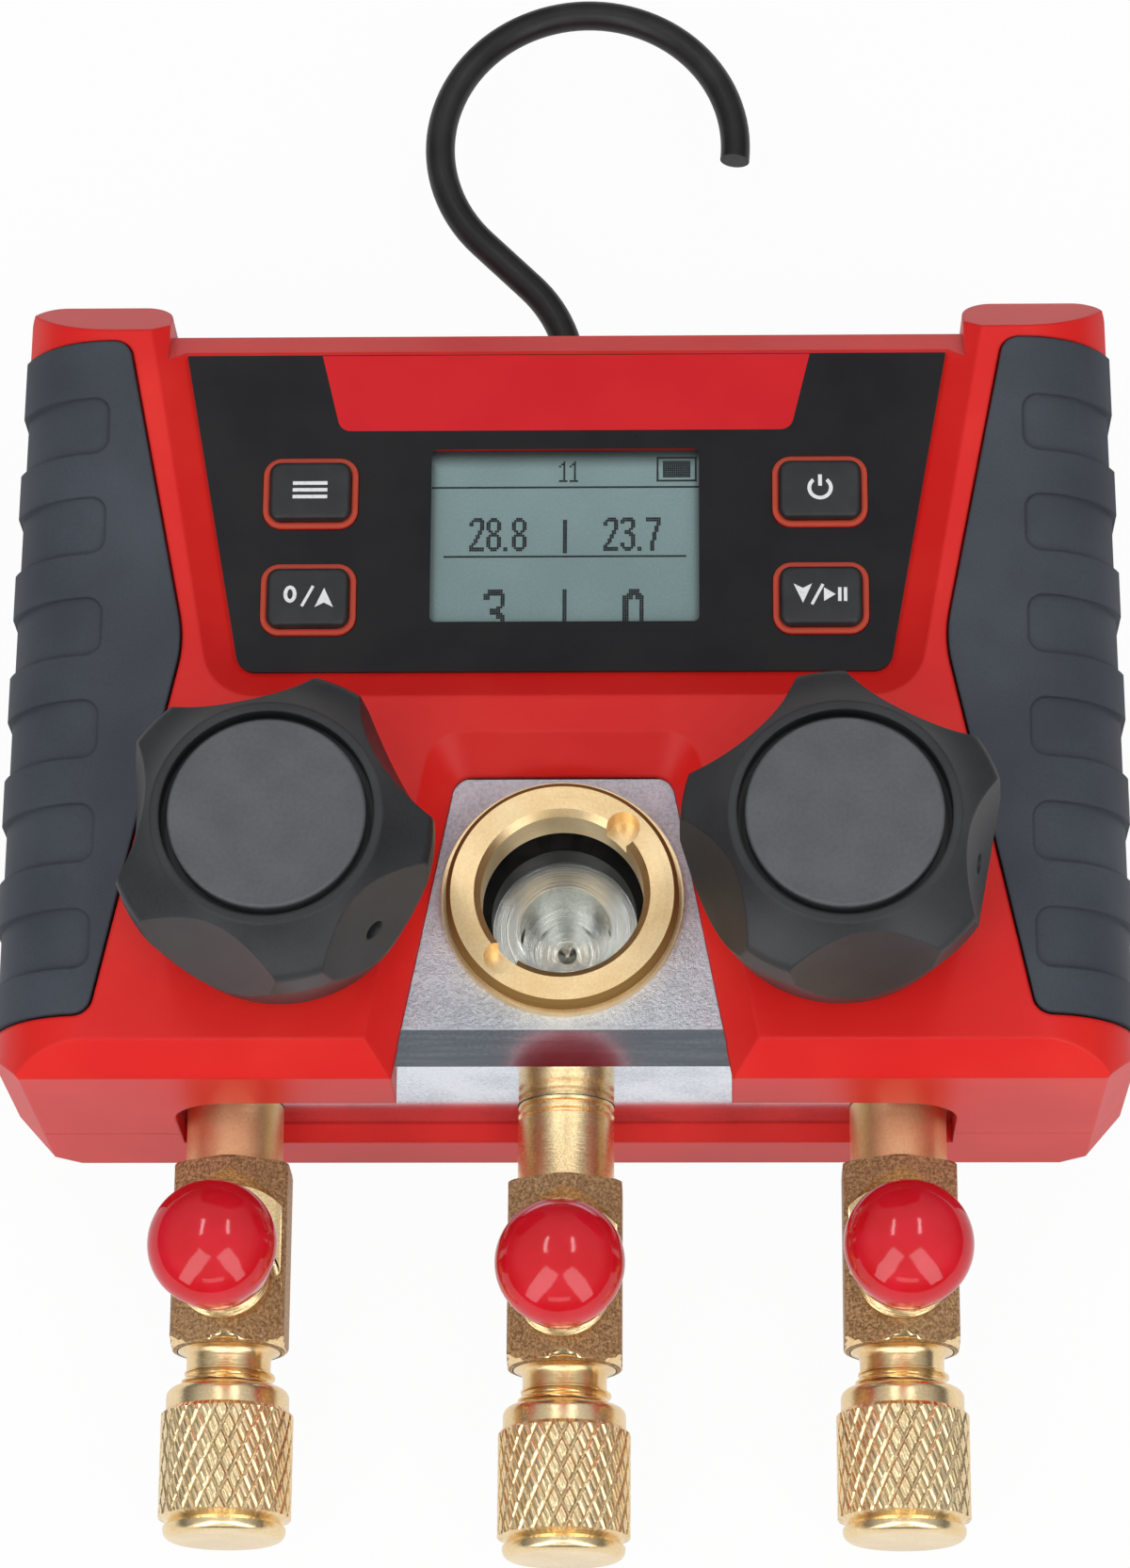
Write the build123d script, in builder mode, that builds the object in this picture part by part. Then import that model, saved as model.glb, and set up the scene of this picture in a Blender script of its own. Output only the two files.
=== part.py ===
from build123d import *
import os

# A two-valve digital refrigerant manifold gauge, lying on its back.
# Frame: millimetres, +Z out of the display, +Y towards the hook, +X to the right.
# The origin is on the back face, straight behind the centre of the sight glass.

# ---- housing: two moulded shells ------------------------------------------------------
HALF_WIDTH = 67.6            # half width across the lower corners
TOP_HALF_WIDTH = 66.2        # half width across the upper corners
HOUSING_DEPTH = 42.2         # back face to front face
PARTING = 14.0               # height of the joint between the shells
WALL = 2.5
HOUSING_BOTTOM = -21.8
HOUSING_TOP = 74.1
SHOULDER_TOP = 79.3          # the raised ends above the grips
SHOULDER_START = 48.6        # from here outwards the housing rises to the shoulders
CORNER_CUT = 4.0             # lower corners in plan
SHOULDER_ROUND = 4.0
FRONT_EDGE_ROUND = 12.0      # long front edges, under the grips
BACK_EDGE_CUT = 7.0
LOWER_BEVEL = 3.8
UPPER_BEVEL = 4.3
SHOULDER_BEVEL_RUN = 7.0
SHOULDER_BEVEL_DROP = 9.0

# ---- display ---------------------------------------------------------------------------
RECESS_DEPTH = 2.7           # front face down to the display floor
RECESS_SLOPE_RUN = 3.7
OVERLAY_THICK = 0.5
OVERLAY_TOP = 69.7
OVERLAY_BOTTOM = 28.3
OVERLAY_TOP_HALF = 46.4
OVERLAY_BOTTOM_HALF = 39.0
OVERLAY_ROUND = 2.4
OVERLAY_GAP = 0.15
WINDOW_HALF = 16.5
WINDOW_BOTTOM = 34.4
WINDOW_TOP = 57.4
WINDOW_THICK = 1.2
LCD_BORDER = 3.4             # hidden rim of the module beyond the window
LCD_THICK = 3.6
BOARD_THICK = 1.6
BOARD_HALF = 47.0
BOARD_FOOT = 4.0             # board's lower edge above the overlay's
BOARD_HEAD = 8.4             # board's upper edge below the housing's
FIT = 0.1                    # between pieces that are seated in each other

# ---- keys ------------------------------------------------------------------------------
KEY_X = 30.85
KEY_ROWS = (51.3, 37.5)
KEY_SIZE = (9.5, 7.1)
KEY_ROUND = 1.3
KEY_CLEARANCE = 0.25
KEY_RIM = 0.75               # moulded frame round each key
KEY_RIM_PROUD = 0.35
KEY_PROUD = 0.9
KEY_EDGE_ROUND = 0.3
KEY_FLANGE = 0.6
KEY_FLANGE_THICK = 0.8
KEY_TRAVEL = 0.7
DOME_RADIUS = 2.6
DOME_HEIGHT = 0.6
DOME_TAPER = 35.0            # slope of a snap dome's side, in degrees

# ---- grips -----------------------------------------------------------------------------
GRIP_SEAT = 1.5              # depth of the rebate in the shell
GRIP_PROUD = 0.4
GRIP_GAP = 0.3
GRIP_TOP = 70.6
GRIP_BOTTOM = -14.9
GRIP_TOP_X = 53.4
GRIP_KNEE = (45.6, 31.6)
GRIP_BOTTOM_X = 55.4
GRIP_KNEE_ROUND = 16.0
GRIP_CORNER_ROUND = 2.2
GRIP_FOOT = 1.2              # grip ends this far above the parting line
PAD_COUNT = 6
PAD_FIRST = 63.2
PAD_PITCH = 13.05
PAD_HEIGHT = 7.4
PAD_INNER_X = 55.4
PAD_DEPTH = 0.6
PAD_ROUND = 2.0

# ---- manifold block --------------------------------------------------------------------
BLOCK_SINK = 4.0             # block front below the housing front
BLOCK_BACK = 8.0
BLOCK_BOTTOM = -19.3
BLOCK_TOP = 15.2
BLOCK_CHAMFER = 3.5
BLOCK_END = 7.0              # metal outside the outer ports
OPENING_TOP_HALF = 12.7      # window in the shell that shows the block
OPENING_SIDE_SLOPE = 0.195   # it widens by this share of its length on each side
OPENING_ROUND = 2.4
OPENING_SIDE_RUN = 3.8
OPENING_TOP_RUN = 4.7
SKIRT_GAP = 0.1              # slanted skirt of the shell above the block
PORT_X = 40.0
PORT_Z = 17.0
PORT_TAIL = 8.0              # thread length in the block
GALLERY_RADIUS = 2.2
GALLERY_RISE = 3.0           # gallery above the port axis
PASSAGE_RADIUS = 2.5
NOTCH_SIDE = 6.9             # cut in the lower wall, past the outer port axes
NOTCH_ROUND = 7.0
NOTCH_FRONT = 10.6           # notch edge above the port axis
NOTCH_BACK = 7.3             # notch edge below the port axis
NOTCH_LIP_ROUND = 4.0

# ---- sight glass -----------------------------------------------------------------------
RING_RADIUS = 14.3
RING_PROUD = 3.4
RING_FLANGE = 1.4
RING_FACE_RADIUS = 13.2
RING_STEP_RADIUS = 13.7
RING_BORE = 9.6
RING_BORE_CHAMFER = 0.8
RING_THREAD_RADIUS = 13.15
RING_TAIL = 3.3
LENS_THICK = 4.0
SEAL_THICK = 4.4
SEAL_BORE = 8.7
PIN_HOLE_RADIUS = 2.0
PIN_HOLE_CIRCLE = 10.7
PIN_HOLE_DEPTH = 3.5
PIN_HOLE_ANGLE = 48.0
CHAMBER_RADIUS = 5.5
CHAMBER_BELOW = 2.8          # chamber floor below the gallery's axis
CHAMBER_STEP_RADIUS = 3.9
CHAMBER_STEP_DEPTH = 0.7
DRILL_POINT_RADIUS = 1.2
DRILL_POINT_DEPTH = 0.7

# ---- valves ----------------------------------------------------------------------------
VALVE_X = 32.4
SPINDLE_RADIUS = 4.0
RUNNING_FIT = 0.05
BONNET_TAIL_RADIUS = 8.0
BONNET_TAIL = 8.2
BONNET_HEX = 17.0            # across flats
BONNET_NECK_RADIUS = 7.2
BONNET_HOLE_GAP = 0.5
BONNET_PROUD = 5.0           # neck above the housing front
PACKING_RADIUS = 6.2
PACKING_HEIGHT = 3.0
PISTON_RADIUS = 5.0
VALVE_LIFT = 3.0             # three turns of a 1 mm thread
LIFT_SPARE = 0.9             # room left over the raised piston
PISTON_NOSE = 2.0
PISTON_NOSE_RADIUS = 2.6
PISTON_RING_SECTION = 0.7    # radius of a ring's round section
PISTON_RINGS = 2
PISTON_GROOVE = 1.7          # height of a ring's groove
PISTON_FLOOR = 2.0           # bore bottom below the gallery axis

# ---- knobs -----------------------------------------------------------------------------
KNOB_GAP = 5.8               # housing front to the underside of a closed knob
KNOB_HEIGHT = 23.0
KNOB_RADIUS = 18.5
KNOB_BASE_RADIUS = 15.6
KNOB_SHOULDER = 4.2          # rim face down to the widest part
KNOB_SHOULDER_SAG = 0.35     # the shoulder is this hollow
KNOB_WIDE_BAND = 5.0
KNOB_EDGE_ROUND = 1.6
RIM_OUTER = 13.1
RIM_INNER = 12.1
INSERT_RADIUS = 11.2
INSERT_THICK = 2.4
INSERT_ROUND = 0.4
INSERT_PEG_RADIUS = 3.0
INSERT_PEG = 1.6
SCALLOP_COUNT = 5
SCALLOP_RADIUS = 22.0
SCALLOP_WAIST = 14.9         # knob radius left at mid scallop
SCALLOP_TILT = 10.0
SCALLOP_START = 30.0         # first scallop of the left knob
RIGHT_KNOB_TURN = 31.6
HUB_RADIUS = 6.6
SKIRT_WALL = 2.6
HOLLOW_DEPTH = 11.0
SPINDLE_IN_KNOB = 16.0
SET_SCREW_RADIUS = 1.25
SET_SCREW_LENGTH = 6.0
SET_SCREW_HEIGHT = 12.4      # above the underside

# ---- port fittings ---------------------------------------------------------------------
PIPE_RADIUS = 5.8
PIPE_LENGTH = 7.9
TEE_FLATS = 13.6
TEE_LENGTH = 22.4
TEE_CHAMFER = 1.1
MIDDLE_DROP = 2.2            # the middle fitting is screwed in less far
FLOW_RADIUS = 2.4
NECK_RADIUS = 5.05
NECK_LENGTH = 1.5
THREAD_RADIUS = 5.56         # 7/16-20 UNF male flare
THREAD_LENGTH = 12.6
NOSE_LENGTH = 2.4
NOSE_RADIUS = 3.6
BRANCH_DROP = 15.0           # tee's upper end to the side branch
BRANCH_TOP = 26.2            # branch end above the port axis
SPOT_RADIUS = 8.3
SPOT_DEPTH = 1.1
CORE_RADIUS = 2.0
CORE_LENGTH = 12.0

# ---- knurled caps ----------------------------------------------------------------------
CAP_START = 4.5              # tee's lower end to the cap
CAP_LENGTH = 18.0
CAP_RADIUS = 7.85
CAP_COLLAR_RADIUS = 7.3
CAP_COLLAR = 2.7
CAP_KNURL = 12.8
CAP_GROOVE = 0.5
CAP_GROOVE_DEPTH = 0.7
CAP_END_RADIUS = 7.25
CAP_END_ROUND = 1.1
THREAD_FIT = 0.1
CAP_SEAL_THICK = 1.6
CAP_SEAL_RADIUS = 5.2

# ---- vinyl dust caps -------------------------------------------------------------------
DUST_RADIUS = 7.25
DUST_LENGTH = 13.0
DUST_ROUND = 2.6
DUST_CROWN = 24.0            # radius of the domed end
DUST_TOP_WALL = 3.2

# ---- hook ------------------------------------------------------------------------------
WIRE_RADIUS = 1.9
HOOK_Z = PARTING
HOOK_STEM_START = 61.5
HOOK_STEM_END = 78.0
HOOK_BEND_RADIUS = 18.0
HOOK_BEND_ANGLE = 45.0
HOOK_STRAIGHT = 9.0
HOOK_LOOP_RADIUS = 19.2
HOOK_LOOP_ANGLE = 231.0
BUSH_RADIUS = 4.0
BUSH_FLANGE_RADIUS = 5.6
BUSH_FLANGE = 1.2
COLLAR_RADIUS = 4.2
COLLAR_LENGTH = 3.0

# ---- inside and fasteners --------------------------------------------------------------
SENSOR_X = 20.0
SENSOR_Z = 25.5
SENSOR_RADIUS = 5.0
SENSOR_LENGTH = 13.0
SENSOR_FLATS = 11.0
SENSOR_HEX_LENGTH = 4.0
SENSOR_TAIL_RADIUS = 3.0
SENSOR_TAIL = 5.0
SCREW_POINTS = ((57.5, 65.0), (57.5, -9.0))
SCREW_RADIUS = 1.5
SCREW_HEAD_RADIUS = 2.8
SCREW_HEAD = 2.2
SCREW_SINK = 5.0             # head bottom of the counterbore above the back face
SCREW_BITE = 8.0
BOSS_RADIUS = 3.9
BLOCK_SCREW_X = 24.0
BLOCK_SCREW_Y = 8.0
CELL_RADIUS = 7.1
CELL_LENGTH = 49.0
CELL_NIPPLE_RADIUS = 2.7
CELL_NIPPLE = 1.4
CELL_COUNT = 2
CELL_PITCH = 14.9
CELL_FIRST = 30.2
CELL_GAP = 0.5
CONTACT_THICK = 0.6
CONTACT_SIZE = 9.0
BOX_WALL = 1.5
DOOR_THICK = 2.0
DOOR_SINK = 0.3
DOOR_LEDGE = 2.0
DOOR_ROUND = 3.0
DOOR_GAP = 0.3
DOOR_SCREW_RADIUS = 1.4
DOOR_SCREW_LENGTH = 8.0

# ---- places worked out from the sizes above -----------------------------------------------
FLOOR_Z = HOUSING_DEPTH - RECESS_DEPTH
OVERLAY_Z = FLOOR_Z + OVERLAY_THICK
UNDER_FLOOR_Z = FLOOR_Z - WALL
BLOCK_FRONT = HOUSING_DEPTH - BLOCK_SINK
BLOCK_HALF = PORT_X + BLOCK_END
GALLERY_Z = PORT_Z + GALLERY_RISE
LENS_TOP_Z = BLOCK_FRONT - RING_TAIL
SEAL_TOP_Z = LENS_TOP_Z - LENS_THICK
SEAT_Z = SEAL_TOP_Z - SEAL_THICK
CHAMBER_Z = GALLERY_Z - CHAMBER_BELOW
DRILL_POINT_Z = CHAMBER_Z - CHAMBER_STEP_DEPTH
BONNET_FOOT_Z = BLOCK_FRONT - BONNET_TAIL
PISTON_BORE_Z = GALLERY_Z - PISTON_FLOOR - PISTON_NOSE
PISTON_Z = PISTON_BORE_Z + PISTON_NOSE + FIT
PISTON_TOP_Z = BONNET_FOOT_Z - VALVE_LIFT - LIFT_SPARE
KNOB_Z = HOUSING_DEPTH + KNOB_GAP
KNOB_TOP_Z = KNOB_Z + KNOB_HEIGHT
BOARD_TOP_Z = FLOOR_Z - WINDOW_THICK - LCD_THICK - FIT
NOTCH_HALF = PORT_X + NOTCH_SIDE
FAR = 200.0                  # reach of cutting shapes past the part
MITRE = 2 ** 0.5 - 1         # a 45 degree bevel's corner moves by this share of an inset
HEX_CORNER = 1 / 3 ** 0.5    # a hexagon's corner radius, as a share of its width across flats


def housing_form(inset):
    """The outer form of the closed housing, drawn in by inset on every side."""
    depth = HOUSING_DEPTH - inset
    with BuildPart() as form:
        with BuildSketch(Plane.XY.offset(inset)) as plan:
            with BuildLine():
                lower = (HALF_WIDTH - CORNER_CUT, HOUSING_BOTTOM)
                side = (HALF_WIDTH, HOUSING_BOTTOM + CORNER_CUT)
                Polyline((0, HOUSING_BOTTOM), lower, side, (TOP_HALF_WIDTH, SHOULDER_TOP),
                         (SHOULDER_START, SHOULDER_TOP), (SHOULDER_START, HOUSING_TOP),
                         (0, HOUSING_TOP), (0, HOUSING_BOTTOM))
            make_face()
            mirror(about=Plane.YZ)
            shoulder_corners = plan.vertices().group_by(Axis.Y)[-1]
            fillet(shoulder_corners, SHOULDER_ROUND)
            if inset != 0:
                offset(amount=-inset, kind=Kind.INTERSECTION, mode=Mode.REPLACE)
        extrude(amount=depth - inset)
        # seen from the end: rounded front edges, cut back edges
        with BuildSketch(Plane.XZ) as end_view:
            width = HALF_WIDTH - inset
            with Locations((0, (depth + inset) / 2)):
                Rectangle(2 * width, depth - inset)
            fillet(end_view.vertices().group_by(Axis.Y)[-1], FRONT_EDGE_ROUND - inset)
            chamfer(end_view.vertices().group_by(Axis.Y)[0], BACK_EDGE_CUT - inset * (1 - MITRE))
        extrude(amount=FAR, both=True, mode=Mode.INTERSECT)
        # seen from the side: the bevels of the lower edge and of the shoulders
        with BuildSketch(Plane.YZ):
            bottom = HOUSING_BOTTOM + inset
            top = SHOULDER_TOP - inset
            slant = inset * MITRE
            with BuildLine():
                Polyline((bottom + LOWER_BEVEL - slant, depth),
                         (top - SHOULDER_BEVEL_RUN + slant, depth),
                         (top, depth - SHOULDER_BEVEL_DROP + slant), (top, inset), (bottom, inset),
                         (bottom, depth - LOWER_BEVEL + slant), close=True)
            make_face()
        extrude(amount=FAR, both=True, mode=Mode.INTERSECT)
        # the bevel between the shoulders
        with BuildSketch(Plane.YZ):
            edge = HOUSING_TOP - inset
            brow = FLOOR_Z + OVERLAY_THICK - inset + slant
            with BuildLine():
                Polyline((edge, brow - UPPER_BEVEL), (edge - UPPER_BEVEL - (depth - brow), depth),
                         (edge, depth), close=True)
            make_face()
        extrude(amount=SHOULDER_START + inset, both=True, mode=Mode.SUBTRACT)
    return form.part


def trapezoid(plane, top, bottom, top_half, bottom_half, top_round=0, bottom_round=0):
    """A sketch that narrows or widens evenly from its top edge to its bottom edge."""
    with BuildSketch(plane) as shape:
        with BuildLine():
            Polyline((-top_half, top), (top_half, top), (bottom_half, bottom), (-bottom_half, bottom),
                     close=True)
        make_face()
        if top_round:
            fillet(shape.vertices().group_by(Axis.Y)[-1], top_round)
        if bottom_round:
            fillet(shape.vertices().group_by(Axis.Y)[0], bottom_round)
    return shape.sketch


def display_pan(grow, low, high):
    """The sloping pan round the display, from height low to high, grown by grow."""
    slope = (OVERLAY_TOP_HALF - OVERLAY_BOTTOM_HALF) / (OVERLAY_TOP - OVERLAY_BOTTOM)
    reach = SHOULDER_TOP + WALL
    with BuildPart() as pan:
        for z in (low, high):
            out = OVERLAY_GAP + grow + RECESS_SLOPE_RUN * max(0, z - FLOOR_Z) / RECESS_DEPTH
            bottom = OVERLAY_BOTTOM - out
            bottom_half = OVERLAY_BOTTOM_HALF + out - slope * out
            top_half = bottom_half + slope * (reach - bottom)
            add(trapezoid(Plane.XY.offset(z), reach, bottom, top_half, bottom_half,
                          bottom_round=OVERLAY_ROUND + out))
        loft()
    return pan.part


def block_opening(grow, low, high):
    """The slanted opening above the block, from height low to high, grown by grow."""
    with BuildPart() as opening:
        for z in (low, high):
            share = max(0, z - BLOCK_FRONT) / BLOCK_SINK
            top = BLOCK_TOP + OPENING_TOP_RUN * share + grow
            top_half = OPENING_TOP_HALF + OPENING_SIDE_RUN * share + grow
            top_half -= OPENING_SIDE_SLOPE * (top - BLOCK_TOP)
            bottom = HOUSING_BOTTOM - WALL
            bottom_half = top_half + OPENING_SIDE_SLOPE * (top - bottom)
            corner = OPENING_ROUND + OPENING_TOP_RUN * share / 2 + grow
            add(trapezoid(Plane.XY.offset(z), top, bottom, top_half, bottom_half, top_round=corner))
        loft()
    return opening.part


def grip_region(grow):
    """Plan of the right grip, grown by grow, as a tall prism."""
    with BuildPart() as region:
        with BuildSketch() as plan:
            with BuildLine():
                Polyline((GRIP_TOP_X, GRIP_TOP), GRIP_KNEE, (GRIP_BOTTOM_X, GRIP_BOTTOM),
                         (HALF_WIDTH + WALL, GRIP_BOTTOM), (HALF_WIDTH + WALL, GRIP_TOP), close=True)
            make_face()
            fillet(plan.vertices().sort_by(Axis.X)[0], GRIP_KNEE_ROUND)
            fillet(plan.vertices().group_by(Axis.Y)[-1].sort_by(Axis.X)[0], GRIP_CORNER_ROUND)
            fillet(plan.vertices().group_by(Axis.Y)[0].sort_by(Axis.X)[0], GRIP_CORNER_ROUND)
            if grow:
                offset(amount=grow, mode=Mode.REPLACE)
        extrude(amount=HOUSING_DEPTH + WALL)
        foot = PARTING + GRIP_FOOT - grow
        with Locations((HALF_WIDTH, 0, foot / 2)):
            Box(FAR, FAR, foot, mode=Mode.SUBTRACT)
    return region.part


def key_outline(grow):
    """Rounded outlines of the four keys, grown by grow, in the current sketch."""
    with Locations([(x, y) for x in (-KEY_X, KEY_X) for y in KEY_ROWS]):
        RectangleRounded(KEY_SIZE[0] + 2 * grow, KEY_SIZE[1] + 2 * grow, KEY_ROUND + grow)


screw_points = [(side * x, y) for side in (-1, 1) for x, y in SCREW_POINTS]
block_screw_points = [(side * BLOCK_SCREW_X, end * BLOCK_SCREW_Y) for side in (-1, 1) for end in (-1, 1)]
outer_form = housing_form(0)
inner_form = housing_form(WALL)
grip_inside = housing_form(GRIP_SEAT)

# ---- front housing: red shell with the display pan and the opening over the block ------
# First the walls of the pan and of the opening, then the rebates that the grips lie in.
with BuildPart() as sunken_walls:
    add(display_pan(WALL, UNDER_FLOOR_Z, HOUSING_DEPTH))
    add(block_opening(WALL, BLOCK_FRONT + SKIRT_GAP, HOUSING_DEPTH))
    add(outer_form, mode=Mode.INTERSECT)

with BuildPart() as grip_rebates:
    add(grip_region(GRIP_GAP))
    add(grip_inside, mode=Mode.SUBTRACT)
    mirror(about=Plane.YZ)

with BuildPart() as front_housing:
    add(outer_form)
    add(inner_form, mode=Mode.SUBTRACT)
    add(sunken_walls.part)
    with BuildSketch(Plane.XY.offset(PARTING)):
        with Locations(screw_points):
            Circle(BOSS_RADIUS)
    extrude(amount=HOUSING_DEPTH - WALL - PARTING)
    add(display_pan(0, FLOOR_Z, HOUSING_DEPTH + RECESS_DEPTH), mode=Mode.SUBTRACT)
    # key frames stand on the display floor
    with BuildSketch(Plane.XY.offset(FLOOR_Z)):
        key_outline(KEY_CLEARANCE + KEY_RIM)
    extrude(amount=OVERLAY_THICK + KEY_RIM_PROUD)
    with BuildSketch(Plane.XY.offset(UNDER_FLOOR_Z)):
        key_outline(KEY_CLEARANCE)
    extrude(amount=HOUSING_DEPTH, mode=Mode.SUBTRACT)
    # opening over the block, running out through the lower wall
    add(block_opening(0, BLOCK_FRONT, HOUSING_DEPTH + BLOCK_SINK), mode=Mode.SUBTRACT)
    # display window and valve holes
    window_middle = (WINDOW_TOP + WINDOW_BOTTOM) / 2
    with BuildSketch(Plane.XY.offset(UNDER_FLOOR_Z - WALL)):
        with Locations((0, window_middle)):
            Rectangle(2 * (WINDOW_HALF + FIT), WINDOW_TOP - WINDOW_BOTTOM + 2 * FIT)
        with Locations((-VALVE_X, 0), (VALVE_X, 0)):
            Circle(BONNET_HEX * HEX_CORNER + BONNET_HOLE_GAP)
    extrude(amount=HOUSING_DEPTH, mode=Mode.SUBTRACT)
    # notch in the lower wall for the ports
    with BuildSketch(Plane.XZ.offset(-HOUSING_BOTTOM - WALL * 2)) as notch:
        with BuildLine():
            front_z = PORT_Z + NOTCH_FRONT
            lip = OPENING_TOP_HALF + OPENING_SIDE_SLOPE * (BLOCK_TOP - HOUSING_BOTTOM)
            Polyline((-NOTCH_HALF, 0), (NOTCH_HALF, 0), (NOTCH_HALF, front_z), (lip, front_z),
                     (lip, BLOCK_FRONT), (-lip, BLOCK_FRONT), (-lip, front_z),
                     (-NOTCH_HALF, front_z), close=True)
        make_face()
        at_front = notch.vertices().filter_by(lambda v: abs(v.Y - front_z) < FIT)
        fillet(at_front.filter_by(lambda v: abs(v.X) > PORT_X), NOTCH_ROUND)
        fillet(at_front.filter_by(lambda v: abs(v.X) < PORT_X), NOTCH_LIP_ROUND)
    extrude(amount=WALL * 3, mode=Mode.SUBTRACT)
    # seats for the hook bush and the screws
    with BuildSketch(Plane.XZ.offset(-HOUSING_TOP - WALL)):
        with Locations((0, HOOK_Z)):
            Circle(BUSH_RADIUS + FIT)
    extrude(amount=WALL * 3, mode=Mode.SUBTRACT)
    with BuildSketch(Plane.XY.offset(PARTING)):
        with Locations(screw_points):
            Circle(SCREW_RADIUS)
    extrude(amount=SCREW_BITE + FIT, mode=Mode.SUBTRACT)
    add(grip_rebates.part, mode=Mode.SUBTRACT)
    split(bisect_by=Plane.XY.offset(PARTING), keep=Keep.TOP)
front_housing.part.label = "front_housing"
export_step(front_housing.part, "parts/front_housing.step")

# ---- rear housing: red shell with the battery box and the screw bosses -------------------
cell_rows = [CELL_FIRST + CELL_PITCH * i for i in range(CELL_COUNT)]
cell_z = DOOR_SINK + DOOR_THICK + CELL_RADIUS + CELL_GAP
box_half = CELL_LENGTH / 2 + CELL_NIPPLE + CONTACT_THICK + CELL_GAP
box_bottom = cell_rows[0] - CELL_RADIUS - CELL_GAP
box_top = cell_rows[-1] + CELL_RADIUS + CELL_GAP
box_middle = (box_top + box_bottom) / 2
box_roof = cell_z + CELL_RADIUS + CELL_GAP
door_width = 2 * (box_half + DOOR_LEDGE)
door_height = box_top - box_bottom + 2 * DOOR_LEDGE
door_screw_y = box_bottom - BOSS_RADIUS + DOOR_LEDGE
with BuildPart() as rear_housing:
    add(outer_form)
    add(inner_form, mode=Mode.SUBTRACT)
    split(bisect_by=Plane.XY.offset(PARTING), keep=Keep.BOTTOM)
    # bosses for the housing screws, posts under the block, battery box
    with BuildSketch():
        with Locations(screw_points):
            Circle(BOSS_RADIUS)
    extrude(amount=PARTING)
    with BuildSketch():
        with Locations(block_screw_points):
            Circle(BOSS_RADIUS)
    extrude(amount=BLOCK_BACK)
    with BuildSketch():
        with Locations((0, box_middle)):
            Rectangle(2 * (box_half + BOX_WALL), box_top - box_bottom + 2 * BOX_WALL)
        with Locations((0, door_screw_y)):
            Circle(BOSS_RADIUS)
    extrude(amount=box_roof + BOX_WALL)
    with BuildSketch():
        with Locations((0, box_middle)):
            Rectangle(2 * box_half, box_top - box_bottom)
    extrude(amount=box_roof, mode=Mode.SUBTRACT)
    # rebate for the battery door
    with BuildSketch():
        with Locations((0, box_middle)):
            RectangleRounded(door_width + 2 * DOOR_GAP, door_height + 2 * DOOR_GAP, DOOR_ROUND + DOOR_GAP)
        with Locations((0, door_screw_y)):
            Circle(BOSS_RADIUS)
    extrude(amount=DOOR_SINK + DOOR_THICK, mode=Mode.SUBTRACT)
    with Locations((0, door_screw_y, 0)):
        Hole(radius=DOOR_SCREW_RADIUS)
    # counterbored screw holes
    with BuildSketch():
        with Locations(screw_points + block_screw_points):
            Circle(SCREW_HEAD_RADIUS + FIT)
    extrude(amount=SCREW_SINK, mode=Mode.SUBTRACT)
    with BuildSketch():
        with Locations(screw_points + block_screw_points):
            Circle(SCREW_RADIUS + FIT)
    extrude(amount=PARTING, mode=Mode.SUBTRACT)
    # lower wall cut down behind the ports, seat for the hook bush
    with BuildSketch(Plane.XZ.offset(-HOUSING_BOTTOM - WALL * 2)):
        with Locations((0, PARTING)):
            Rectangle(2 * NOTCH_HALF, 2 * (PARTING - PORT_Z + NOTCH_BACK))
    extrude(amount=WALL * 3, mode=Mode.SUBTRACT)
    with BuildSketch(Plane.XZ.offset(-HOUSING_TOP - WALL)):
        with Locations((0, HOOK_Z)):
            Circle(BUSH_RADIUS + FIT)
    extrude(amount=WALL * 3, mode=Mode.SUBTRACT)
rear_housing.part.label = "rear_housing"
export_step(rear_housing.part, "parts/rear_housing.step")

# ---- battery door, its screw and what lies in the box ------------------------------------
with BuildPart() as battery_door:
    with BuildSketch(Plane.XY.offset(DOOR_SINK)):
        with Locations((0, box_middle)):
            RectangleRounded(door_width, door_height, DOOR_ROUND)
        with Locations((0, door_screw_y)):
            Circle(BOSS_RADIUS - DOOR_GAP)
    extrude(amount=DOOR_THICK)
    with Locations((0, door_screw_y, DOOR_SINK)):
        Hole(radius=DOOR_SCREW_RADIUS + FIT)
    with BuildSketch(Plane.XY.offset(DOOR_SINK)):
        with Locations((0, door_screw_y)):
            Circle(SCREW_HEAD_RADIUS + FIT)
    extrude(amount=DOOR_THICK / 2, mode=Mode.SUBTRACT)
battery_door.part.label = "battery_door"
export_step(battery_door.part, "parts/battery_door.step")

with BuildPart() as battery_door_screw:
    with BuildSketch(Plane.XY.offset(DOOR_SINK + DOOR_THICK / 2)):
        with Locations((0, door_screw_y)):
            Circle(SCREW_HEAD_RADIUS)
    extrude(amount=-DOOR_THICK / 2)
    with BuildSketch(Plane.XY.offset(DOOR_SINK)):
        with Locations((0, door_screw_y)):
            Circle(DOOR_SCREW_RADIUS - RUNNING_FIT)
    extrude(amount=DOOR_SCREW_LENGTH)
battery_door_screw.part.label = "battery_door_screw"
export_step(battery_door_screw.part, "parts/battery_door_screw.step")

with BuildPart() as battery_cells:
    with BuildSketch(Plane.YZ.offset(-CELL_LENGTH / 2)):
        with Locations([(y, cell_z) for y in cell_rows]):
            Circle(CELL_RADIUS)
    extrude(amount=CELL_LENGTH)
    for i, y in enumerate(cell_rows):
        side = 1 if i % 2 == 0 else -1
        with BuildSketch(Plane.YZ.offset(side * CELL_LENGTH / 2)):
            with Locations((y, cell_z)):
                Circle(CELL_NIPPLE_RADIUS)
        extrude(amount=side * CELL_NIPPLE)
battery_cells.part.label = "battery_cells"
export_step(battery_cells.part, "parts/battery_cells.step")

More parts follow.
